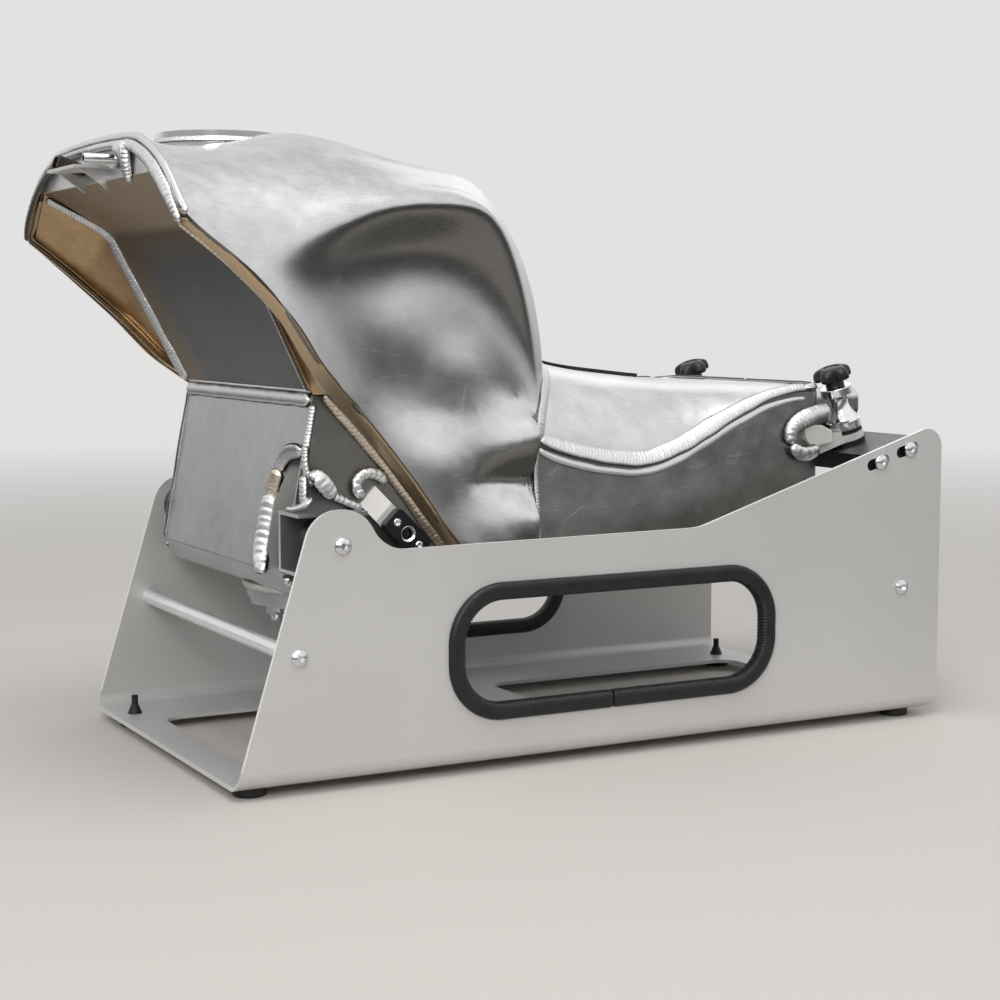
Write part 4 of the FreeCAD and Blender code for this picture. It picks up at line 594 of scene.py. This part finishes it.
# Upper shell: hammered from one sheet each side and joined over the crown. Low behind the knee
# hollow a dart is pressed into each flank where the shell meets the rear cell.
crown_top = 389.0
dabs = [(150, 186, 26, 20, 3.6), (165, 242, 26, 20, -3.0), (120, 262, 30, 26, -2.0)]
bm = bmesh.new()
bm.from_mesh(nodes["tank_shell"].data)
bmesh.ops.remove_doubles(bm, verts=bm.verts, dist=0.00001)
for vert in bm.verts:
    x, z = vert.co.x * 1000 + middle_x, vert.co.z * 1000 - foot_height
    push = 0.0
    for dab_x, dab_z, reach_x, reach_z, depth in dabs:
        push += depth * math.exp(-((x - dab_x) / reach_x) ** 2 - ((z - dab_z) / reach_z) ** 2)
    share = min(max((x - 163.0) / 50.0, 0.0), 1.0)
    if share > 0 and z < 262:
        valley = 171.6 - 2.6 * share
        upper = 171.8 + 24.4 * share ** 0.6
        lower = 171.4 - 22.6 * share ** 0.85
        if z >= upper:
            rest = min((z - upper) / 30.0, 1.0)
            fold = 9.0 * share * (1 - rest * rest * (3 - 2 * rest))
        elif z >= valley:
            rest = (z - valley) / (upper - valley)
            fold = share * (9.0 * math.sin(rest * math.pi / 2) ** 1.3 - 0.6 * (1 - rest))
        elif z >= lower:
            rest = (valley - z) / (valley - lower)
            fold = share * (8.0 * rest ** 1.2 - 0.6 * (1 - rest))
        else:
            rest = min((lower - z) / 44.0, 1.0)
            fold = 8.0 * share * (1 - rest * rest * (3 - 2 * rest))
        push += fold * min(max((219.0 - x) / 1.6, 0.3), 1.0)
    vert.co.y += math.copysign(push / 1000, vert.co.y) * (abs(vert.co.y) > 0.06)
    rear = min(max((x - 42.0) / 44.0, 0.0), 1.0) * min(max((150.0 - x) / 48.0, 0.0), 1.0)
    middle = min(max((84.0 - abs(vert.co.y) * 1000) / 50.0, 0.0), 1.0)
    if z > 370:
        raised = z + 4.6 * rear * rear * (3 - 2 * rear) * middle * middle * (3 - 2 * middle)
        vert.co.z = (max(min(raised, crown_top), z) + foot_height) / 1000
for edge in bm.edges:
    edge.smooth = edge.calc_face_angle(0.0) < math.radians(32)
shell = piece_from("formed_shell", bm, tank_skin, "tank")
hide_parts("tank_shell")

# Rim of the airbox opening: the shell's front edge is rolled over the crown, and a turned land
# closes it on both sides down to the sump. The seam runs inside the roll and the land.
for word, side in (("left", -1), ("right", 1)):
    weld_bead("arch_bead_" + word,
              [(-35, side * 159.5, 327.0), (-36.5, side * 150.5, 338.0), (-37, side * 134.5, 351.0),
               (-37, side * 116.5, 362.0),
               (-37, side * 99, 369.0), (-36.5, side * 79, 374.0), (-36, side * 40, 376.5), (-36, 0, 377)],
              (-0.8, side * 0.55, 0.1), [5.0, 7.0, 8.2, 8.6, 8.0, 6.5, 5.5, 5.5], 3.0, 3.3, 3.0 + side)
    weld_bead("crown_roll_" + word,
              [(-33.2, side * 165.0, 331.2), (-34.2, side * 152.0, 343.3), (-34.2, side * 137.5, 355.5),
               (-34.2, side * 127.5, 362.0),
               (-34.2, side * 117, 367.4), (-34.2, side * 99, 374.5), (-34.2, side * 80, 379.3),
               (-34.2, side * 40, 381.3), (-34.2, 0, 381.8)],
              (-1, side * 0.3, 0.35), 5.0, 2.0, 2.4, 2.0, rolled_metal, 0.0)
    weld_bead("rim_land_" + word,
              [(-34.9, side * 161.7, 328.9), (-5.7, side * 165.0, 304.6), (25.6, side * 159.6, 275.0),
               (47.8, side * 147.4, 249.0),
               (68.0, side * 132.2, 231.4), (82.2, side * 122.8, 220.0), (105.0, side * 118.6, 195.0),
               (125.0, side * 117.8, 170.0),
               (138.6, side * 117.5, 152.0), (152.6, side * 117.1, 134.0), (171.4, side * 116.6, 107.0)],
              (-0.66, side * 0.42, -0.6), [6.0, 9.6, 11.2, 13.2, 14.6, 14.0, 13.2, 13.0, 12.6, 12.2, 11.6], 1.5, 2.9,
              1.5 + side,
              land_warm_reflection, 0.0)
    weld_bead("rim_bead_" + word,
              [(-35.2, side * 156.6, 327.0), (-5.2, side * 158.4, 303.4), (26.4, side * 152.4, 274.4),
               (48.4, side * 139.0, 248.8), (60.0, side * 127.0, 237.4), (69.0, side * 118.5, 229.4)],
              (-0.7, side * 0.3, -0.55), [3.4, 4.2, 4.6, 5.0, 5.6, 6.4], 1.7, 2.6, 1.0 + side, bead_warm_reflection)
    weld_bead("lip_foot_bead_" + word,
              [(69.0, side * 112.6, 229.0), (80.0, side * 111.4, 217.6), (102.8, side * 110.9, 192.8),
               (122.8, side * 110.9, 167.8),
               (136.3, side * 110.9, 149.8), (150.3, side * 110.9, 131.8), (167.0, side * 110.9, 108.0)],
              (-0.3, side * 0.9, -0.25), [6.5, 8.6, 9.2, 9.4, 9.6, 9.6, 9.0], 2.8, 3.0, 1.2 + side, bead_warm_reflection)

# Airbox recess: a bent ceiling and two side panels form the pocket for the airbox under the
# crown; a wide seam joins them, and another joins the ceiling's foot to the sump's front.
for word, side in (("left", -1), ("right", 1)):
    weld_bead("recess_bead_" + word,
              [(-31, side * 127.5, 354), (-10, side * 123.4, 342.5), (4, side * 120.6, 334.5),
               (11.5, side * 119.2, 327.5),
               (17, side * 118.1, 316.5), (38, side * 114.0, 275.3), (60.5, side * 110.0, 231.5)],
              [(-0.2, -side * 0.6, -0.8), (-0.3, -side * 0.6, -0.75), (-0.45, -side * 0.6, -0.6),
               (-0.65, -side * 0.6, -0.5),
               (-0.8, -side * 0.6, -0.4), (-0.85, -side * 0.6, -0.35), (-0.85, -side * 0.6, -0.35)],
              [6.0, 6.5, 7.0, 7.5, 8.0, 8.0, 8.5], 2.4, 2.2, 6.0 + side)
weld_bead("sump_top_bead", [(61.4, -108, 225.6), (61.4, -50, 225.6), (61.4, 0, 225.6), (61.4, 60, 225.6),
                            (61.4, 108, 225.6)],
          (-1, 0, 0.15), 9.0, 3.0, 2.6, 9.0)
weld_bead("sump_top_roll", [(62.7, -109, 231.4), (62.7, 0, 231.4), (62.7, 109, 231.4)], (-1, 0, 0.55), 4.0, 1.3, 2.4,
          9.5,
          rolled_metal, 0.0)

# Sump box: folded from one sheet under the recess. Its sides are welded on along the corners,
# and the left lower corner is cut away for a welded pocket with heavy, widely spaced puddles.
weld_bead("sump_corner_bead_left", [(63.0, -109.8, 223), (61.0, -110.0, 212), (58.6, -110.2, 201), (57.2, -110.4, 192),
          (56.4, -110.4, 184)], (-0.7, -0.7, 0), [5.0, 4.6, 4.6, 5.2, 4.0], 1.7, 2.2, 21.0)
weld_bead("sump_corner_bead_right", [(62.6, 109.8, 224), (59.5, 109.9, 208), (55.5, 109.9, 187), (51.5, 109.9, 166),
          (47.6, 109.9, 146),
                                     (44.5, 109.9, 130), (43.2, 109.9, 122.5)],
          (-0.7, 0.7, 0), [5.5, 4.4, 6.4, 4.6, 6.6, 4.4, 5.5], 2.0, 2.4, 22.0)
weld_bead("pocket_bead_rise",
          [(41.0, -82, 120), (42.0, -75.5, 125.5), (43.6, -72.6, 134), (45.8, -72.2, 145), (48.0, -72.6, 157),
           (50.2, -74.0, 168)],
          (-0.7, -0.7, 0.1), [8.0, 11.0, 12.4, 12.6, 12.0, 10.4], 3.6, 5.0, 23.0)
weld_bead("pocket_bead_ground", [(50.0, -73.9, 166), (51.6, -75.4, 175), (53.4, -78.6, 183.0)],
          (-0.7, -0.7, 0.1), [10.8, 10.4, 9.6], 2.9, 2.4, 23.5, bead_warm_reflection, 0.3)
weld_bead("pocket_bead_arch", [(53.0, -77.4, 181.4), (54.4, -82.0, 188.6), (55.4, -89, 193.2), (56.1, -98, 195.0),
                               (56.6, -107.5, 195.6)],
          (-0.9, -0.35, -0.25), [9.6, 10.4, 10.6, 10.4, 8.4], 3.2, 2.0, 24.0)
weld_bead("pocket_bead_fall", [(57.6, -110.8, 199), (57.0, -111.2, 189), (58.2, -111.6, 180.5), (60.4, -112.2, 174.5)],
          (-0.8, -0.6, 0), [4.6, 5.0, 5.8, 5.8], 2.2, 2.2, 25.0)
for word, side, seed in (("left", -1, 26.0), ("right", 1, 27.0)):
    weld_bead("toe_bead_" + word, [(x, side * 110.0, z) for x,
                                   z in [(43.5, 119.6), (60, 108.6), (100, 107.6), (157, 107.6)]],
              (0, side * 0.7, -0.7), 5.0, 1.6, 2.4, seed)

# Boss channels: milled aluminium forks welded to the sump, open towards the stand, so they drop
# over its drums. The left one is tied to the sump's side by a string of big single puddles.
weld_bead("channel_bead_left", [(58.5, -112.5, 178.5), (62.0, -114.5, 180.2), (66.0, -115.6, 176.6),
                                (69.6, -116.2, 171.6), (74.2, -115.4, 167.4)],
          (-0.25, -0.9, 0.25), [7.0, 10.5, 11.5, 11.0, 8.0], 4.4, 4.6, 31.0)
weld_bead("channel_string_left", [(72.5, -113.6, 168.4), (79.5, -112.8, 165.2), (86.5, -112.4, 162.2),
                                  (93.0, -112.0, 159.6)],
          (-0.1, -0.8, 0.5), [7.4, 6.6, 6.2, 5.6], 2.6, 3.6, 32.0)
weld_bead("channel_cheek_left", [(55.6, -112.5, 181.5), (54.8, -113.8, 176), (54.4, -114.6, 169.5),
                                 (54.2, -114.8, 163.5)],
          (-0.9, -0.45, 0), [5.0, 6.4, 6.6, 5.0], 2.4, 2.8, 33.0)
weld_bead("channel_fillet_left", [(46.5, -105.0, 160.4), (50.5, -111.0, 161.2), (54.0, -116.5, 163.8),
                                  (57.5, -119.6, 168.4)],
          (-0.35, -0.35, 0.85), [3.0, 6.0, 7.5, 7.0], 2.2, 2.4, 34.0, rolled_metal, 0.0)
for word, z, up in (("above", 159.8, 1), ("below", 122.2, -1)):
    weld_bead("channel_bead_right_" + word, [(61.5, 111.6, z), (75, 111.6, z), (89, 111.6, z)], (0, 0.7, 0.7 * up), 5.0,
              2.0, 2.6, 35.0 + up)

# Fairing tabs: bent strips that stand off the sump's sides and carry a drilled black block on
# two pop rivets; a hooked run of fat puddles ties each foot to the tank.
def spun(bm, profile, steps):
    """Adds a full turn of a profile of (radius, height) round the upright axis."""
    rim = [bm.verts.new((radius, 0, height)) for radius, height in profile]
    rows = [bm.edges.new(pair) for pair in zip(rim, rim[1:])]
    bmesh.ops.spin(bm, geom=rim + rows, cent=(0, 0, 0), axis=(0, 0, 1), dvec=(0, 0, 0), angle=2 * math.pi, steps=steps,
                   use_merge=True, use_duplicate=False)


tab_slope = math.radians(45)
block_reach = 19.0
rivet_offset = 10.3
block_face = 122.34
block_centre = (106.0 + math.cos(tab_slope) * block_reach, 157.0 - math.sin(tab_slope) * block_reach)
bm = bmesh.new()
for side in (-1, 1):
    for step in (-1, 1):
        centre = (block_centre[0] + math.cos(tab_slope) * step * rivet_offset,
                  block_centre[1] - math.sin(tab_slope) * step * rivet_offset)
        profile = [(0.0, -0.6), (0.85, -0.6), (1.0, 0.55), (1.35, 0.85), (1.9, 0.75), (2.5, 0.35), (2.75, 0.0),
                   (2.6, -0.3), (1.5, -0.4)]
        spun(bm, profile, 32)
        for vert in [vert for vert in bm.verts if not vert.tag]:
            x, y, z = vert.co
            vert.co = stand_mm(centre[0] + x, side * (block_face + 0.02 + z), centre[1] + y)
            vert.tag = True
bmesh.ops.remove_doubles(bm, verts=bm.verts, dist=0.00001)
rivets = piece_from("pop_rivets", bm, screw_zinc, "tank")
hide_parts("fairing_rivets")
bm = bmesh.new()
for side in (-1, 1):
    spun(bm, [(3.45, -1.25), (4.55, -0.06), (4.75, 0.05), (4.95, 0.0), (4.75, -0.1)], 48)
    for vert in [vert for vert in bm.verts if not vert.tag]:
        x, y, z = vert.co
        vert.co = stand_mm(block_centre[0] + x, side * (block_face + z), block_centre[1] + y)
        vert.tag = True
bmesh.ops.remove_doubles(bm, verts=bm.verts, dist=0.00001)
piece_from("block_countersinks", bm, turned, "tank")
for word, side in (("left", -1), ("right", 1)):
    weld_bead("tab_bead_" + word,
              [(94.6, side * 112.6, 167.4), (90.6, side * 112.4, 169.8), (89.6, side * 112.0, 175.2),
               (93.0, side * 111.8, 179.4),
               (99.0, side * 111.8, 180.8), (105.2, side * 111.8, 178.6), (108.8, side * 112.2, 173.8)],
              (-0.1, side, 0.05), [8.4, 7.6, 7.2, 7.4, 7.4, 7.2, 5.6], 3.4, 3.8, 41.0 + side)

# Pump opening: a turned aluminium ring welded under the sump, closed by a screwed plate that
# carries the fuel pump.
def turn_ways(step):
    """Cosine and sine at every step of degrees of a closed turn."""
    return [(math.cos(math.radians(a)), math.sin(math.radians(a))) for a in range(0, 361, step)]


weld_bead("pump_ring_bead", [(105 + 55.2 * c, -40 + 55.2 * s, 106.2) for c, s in turn_ways(15)],
          [(c, s, -0.7) for c, s in turn_ways(15)], 8.0, 2.6, 2.6, 43.0)

# Rear cell: the wall is one strip bent round the rear, its top edge dressed over a bar before the
# saddle is welded on, so a bright round shoulder runs under the wide seam.
for word, side in (("left", -1), ("right", 1)):
    weld_bead("shell_seam_" + word, [(219.6, side * 106.4, 109), (219.6, side * 106.2, 135), (219.6, side * 104.6, 155),
                                     (219.6, side * 102.2, 172), (219.6, side * 103.6, 190),
                                     (220.2, side * 104.6, 198)],
              (0.35, side * 1, 0), [3.0, 3.2, 3.6, 4.2, 4.8, 6.0], 1.3, 2.1, 12.0 + side)
    weld_bead("saddle_front_bead_" + word,
              [(221, side * 104.4, 197), (223, side * 102.2, 205.5), (226.5, side * 97.6, 212.8),
               (230.5, side * 92.6, 218.8),
               (234.5, side * 86.6, 225.0), (239.6, side * 79.3, 230.8), (244.6, side * 70.4, 236.2),
               (251, side * 57.2, 240.6), (257.5, side * 38, 244.3), (261.5, side * 18, 245.6), (263.5, 0, 245.8)],
              [(0.5, side * 0.9, 0.2), (0.5, side * 0.8, 0.3), (0.6, side * 0.6, 0.5), (0.65, side * 0.5, 0.55),
               (0.65, side * 0.4, 0.6), (0.65, side * 0.3, 0.65), (0.6, side * 0.2, 0.75), (0.6, side * 0.1, 0.75),
               (0.6, 0, 0.75), (0.6, 0, 0.75), (0.6, 0, 0.75)],
              [8.6, 9.4, 9.4, 9.2, 9.0, 8.6, 8.2, 8.0, 8.0, 8.0, 8.0], 1.7, 2.3, 14.0 + side)
    edge = [(221.5, 102.2, 197.6), (235, 102.0, 192.8), (250, 101.6, 188.8), (267, 101.2, 185.0), (285, 100.8, 182.6),
            (300, 100.4, 181.8),
            (313, 100.2, 183.2), (335, 99.8, 190.2), (352, 99.6, 198.4), (370, 99.4, 207.2), (388, 99.2, 214.8),
            (405, 99.2, 221), (425, 99.0, 225), (437, 98.8, 225.3)]
    weld_bead("saddle_edge_bead_" + word, [(x, side * (y - 0.6), z + 0.4) for x, y, z in edge], (0, side * 0.84, 0.54),
              [7.5, 11.0, 12.4, 13.2, 13.6, 13.6, 13.4, 12.8, 12.2, 11.2, 9.8, 8.4, 7.0, 6.0], 2.2, 2.5, 17.0 + side)
    weld_bead("wall_shoulder_" + word, [(x, side * (y - 0.9), z - 7.0) for x, y, z in edge], (0, side * 0.92, 0.4),
              [5.0, 9.0, 10.0, 10.0, 10.0, 10.0, 10.0, 9.4, 9.0, 8.4, 7.4, 6.0, 4.6, 4.0], 1.5, 2.4, 19.0 + side,
              rolled_metal, 0.0)
    weld_bead("rear_corner_bead_" + word,
              [(437, side * 98.0, 226.0), (446, side * 94.6, 226.6), (453, side * 86, 227.2), (457.2, side * 72, 227.4),
               (458, side * 40, 227.4), (458, 0, 227.4)],
              (0.5, side * 0.3, 0.8), [5.6, 5.6, 5.6, 5.6, 5.6, 5.6], 1.6, 2.3, 20.0 + side)

# Tail nose: a small hand-formed aluminium box over the crossbar, welded to the rear wall with
# one seam on three sides.
weld_bead("nose_bead", [(458.4, -62.6, 196), (458.4, -62.6, 215), (458.4, -55, 225.4), (458.4, 0, 226.0),
                        (458.4, 55, 225.4), (458.4, 62.6, 215), (458.4, 62.6, 196)],
          [(0.7, -0.7, 0), (0.7, -0.7, 0), (0.7, -0.4, 0.6), (0.7, 0, 0.7), (0.7, 0.4, 0.6), (0.7, 0.7, 0),
           (0.7, 0.7, 0)], 5.2, 1.7, 2.3, 45.0)

# Forehead: the flat plate above the recess carries a shelf with three pointed gussets, a taller
# gusset with a seam on its near side, a polished breather tube and a hose clip of bent dark strip.
clip_strip = grained("clip_strip", (0.016, 0.012, 0.010), (0.050, 0.036, 0.028), 0.26, 0.2, 0.00004, 90.0, 1400.0, 0.6)
bm = bmesh.new()
bmesh.ops.create_cube(bm, size=1.0)
bmesh.ops.scale(bm, vec=(19.0, 13.0, 7.4), verts=bm.verts)
bmesh.ops.subdivide_edges(bm, edges=[edge for edge in bm.edges if abs(edge.verts[0].co.x - edge.verts[1].co.x) > 1],
                          cuts=3)
open_end = [face for face in bm.faces if face.normal.x < -0.9
            or (face.normal.z < -0.9 and face.calc_center_median().x < -2)]
bmesh.ops.delete(bm, geom=open_end, context="FACES")
bmesh.ops.bevel(bm, geom=[edge for edge in bm.edges if edge.calc_face_angle(0.0) > 1.0], offset=1.6, segments=3,
                profile=0.5,
                affect="EDGES", material=-1)
bmesh.ops.recalc_face_normals(bm, faces=bm.faces)
bmesh.ops.solidify(bm, geom=bm.faces, thickness=1.1)
tilt = math.radians(20)
for vert in bm.verts:
    x, y, z = vert.co
    vert.co = stand_mm(-43.8 + x * math.cos(tilt) + z * math.sin(tilt), 22.0 + y,
                       368.2 - x * math.sin(tilt) + z * math.cos(tilt))
clip = piece_from("strip_clip", bm, clip_strip, "tank", False)
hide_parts("hose_clip")
weld_bead("gusset_bead", [(-36.0, -72.6, 378.0), (-37.6, -73.0, 371.5), (-37.6, -73.0, 364), (-36.4, -72.8, 357.5),
                          (-35.0, -72.0, 353.5)],
          (-0.55, -0.8, 0), [6.2, 6.8, 6.6, 5.4, 3.6], 2.3, 2.4, 51.0)
weld_bead("breather_bead", [(-35.2, -46 + 4.2 * c, 368.5 + 4.2 * s) for c, s in turn_ways(30)], (-1, 0, 0),
          3.4, 1.3, 2.2, 52.0)

# Filler: a turned aluminium flange stands out of the crown round the sunk cap, welded to the
# shell all round.
weld_bead("filler_bead", [(46 + 40.2 * c, 40.2 * s, 384.0) for c, s in turn_ways(15)],
          [(c, s, 0.9) for c, s in turn_ways(15)], 4.6, 1.4, 2.3, 55.0)

# Rear lugs: eyes on short arms, welded to the rear wall's corners with one heavy run over the
# arm and a round lump under it. A black pad, a turned bell and a collar are stacked on each eye.
for word, side in (("left", -1), ("right", 1)):
    weld_bead("lug_bead_" + word,
              [(423.6, side * 99.6, 187.4), (422.6, side * 100.0, 193.0), (424.6, side * 100.4, 198.8),
               (430.5, side * 100.6, 203.2),
               (438.0, side * 100.6, 206.0), (446.0, side * 99.0, 208.0), (453.0, side * 96.6, 209.0),
               (459.0, side * 93.6, 209.6)],
              [(-0.3, side * 0.95, 0), (-0.3, side * 0.95, 0.1), (-0.2, side * 0.95, 0.3), (-0.1, side * 0.95, 0.3),
               (0, side * 0.95, 0.3), (0.1, side * 0.95, 0.3), (0.2, side * 0.9, 0.3), (0.3, side * 0.9, 0.3)],
              [8.0, 10.0, 12.0, 12.8, 13.0, 13.0, 12.4, 10.0], 5.0, 3.0, 61.0 + side)
    weld_bead("lug_lump_" + word, [(425.0, side * 100.0, 188.4), (427.0, side * 100.6, 183.2),
                                   (433.0, side * 100.8, 180.6),
                                   (440.6, side * 100.6, 181.6), (447.0, side * 99.8, 184.4)],
              (0, side * 0.95, -0.3), [7.0, 10.0, 12.0, 11.0, 7.0], 4.6, 5.4, 63.0 + side)
    bm = bmesh.new()
    outline = [bm.verts.new((x, side * 90.0, z)) for x, z in
               [(434.0, 199.4), (449.5, 199.8), (458.5, 195.6), (459.0, 187.2), (441.0, 184.4), (436.0, 190.0)]]
    plate = bm.faces.new(outline)
    grown = bmesh.ops.extrude_face_region(bm, geom=[plate])
    far_face = [item for item in grown["geom"] if isinstance(item, bmesh.types.BMVert)]
    bmesh.ops.translate(bm, vec=(0, side * 11.4, 0), verts=far_face)
    bmesh.ops.recalc_face_normals(bm, faces=bm.faces)
    bmesh.ops.bevel(bm, geom=bm.edges[:], offset=0.7, segments=2, profile=0.5, affect="EDGES", material=-1)
    for vert in bm.verts:
        vert.co = stand_mm(*vert.co)
    piece_from("lug_cheek_" + word, bm, brushed, "tank", False)

# Star knobs: black glass-filled nylon with drooping lobes over a tapered stem, moulded on the
# stud that screws through the post into the crossbar.
post_tilt = math.radians(17.4)
post_x, post_y = 481.5, 88.2
post_height = 2.35 + 138.6 + 161 * math.tan(post_tilt)
knob_seat = 2.5 + 0.03 + 3.0 + 0.03 + 24.4 + 0.03 + 6.0 + 0.03
knob_nylon = grained("knob_nylon", (0.006, 0.006, 0.007), (0.016, 0.016, 0.017), 0.36, 0.2, 0.00006, 60.0, 1300.0, 0.0,
                     0.4)
for word, side in (("left", -1), ("right", 1)):
    bm = bmesh.new()
    profile = [(0, 0), (6.4, 0), (6.7, 0.5), (6.5, 2.5), (6.0, 5.4), (6.2, 6.2), (9.0, 6.6), (12.6, 6.3), (13.7, 6.9),
               (14.0, 8.4),
               (13.8, 11.0), (12.9, 12.9), (11.4, 13.8), (8.4, 14.4), (6.2, 14.6), (5.7, 14.2), (5.5, 13.7),
               (3.0, 13.9), (0, 13.95)]
    spun(bm, profile, 108)
    bmesh.ops.remove_doubles(bm, verts=bm.verts, dist=0.0001)
    for vert in bm.verts:
        reach = math.hypot(vert.co.x, vert.co.y)
        if reach > 6.8:
            turn = math.atan2(vert.co.y, vert.co.x)
            lobe = (0.5 + 0.5 * math.cos(5 * turn + 0.9)) ** 0.5
            share = min((reach - 6.8) / 5.5, 1.0)
            pull = 1 - 0.36 * (1 - lobe) * share
            vert.co.x *= pull
            vert.co.y *= pull
            vert.co.z -= share * (1.1 * lobe if vert.co.z < 9 else 0.9 * lobe * share)
    for vert in bm.verts:
        x, y, z = vert.co
        up = z + knob_seat
        vert.co = stand_mm(post_x + x * math.cos(post_tilt) - up * math.sin(post_tilt), side * post_y + y,
                           post_height + x * math.sin(post_tilt) + up * math.cos(post_tilt))
    knob = piece_from("star_knob_" + word, bm, knob_nylon, "knob_" + word)
    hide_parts("post_knob_" + word)
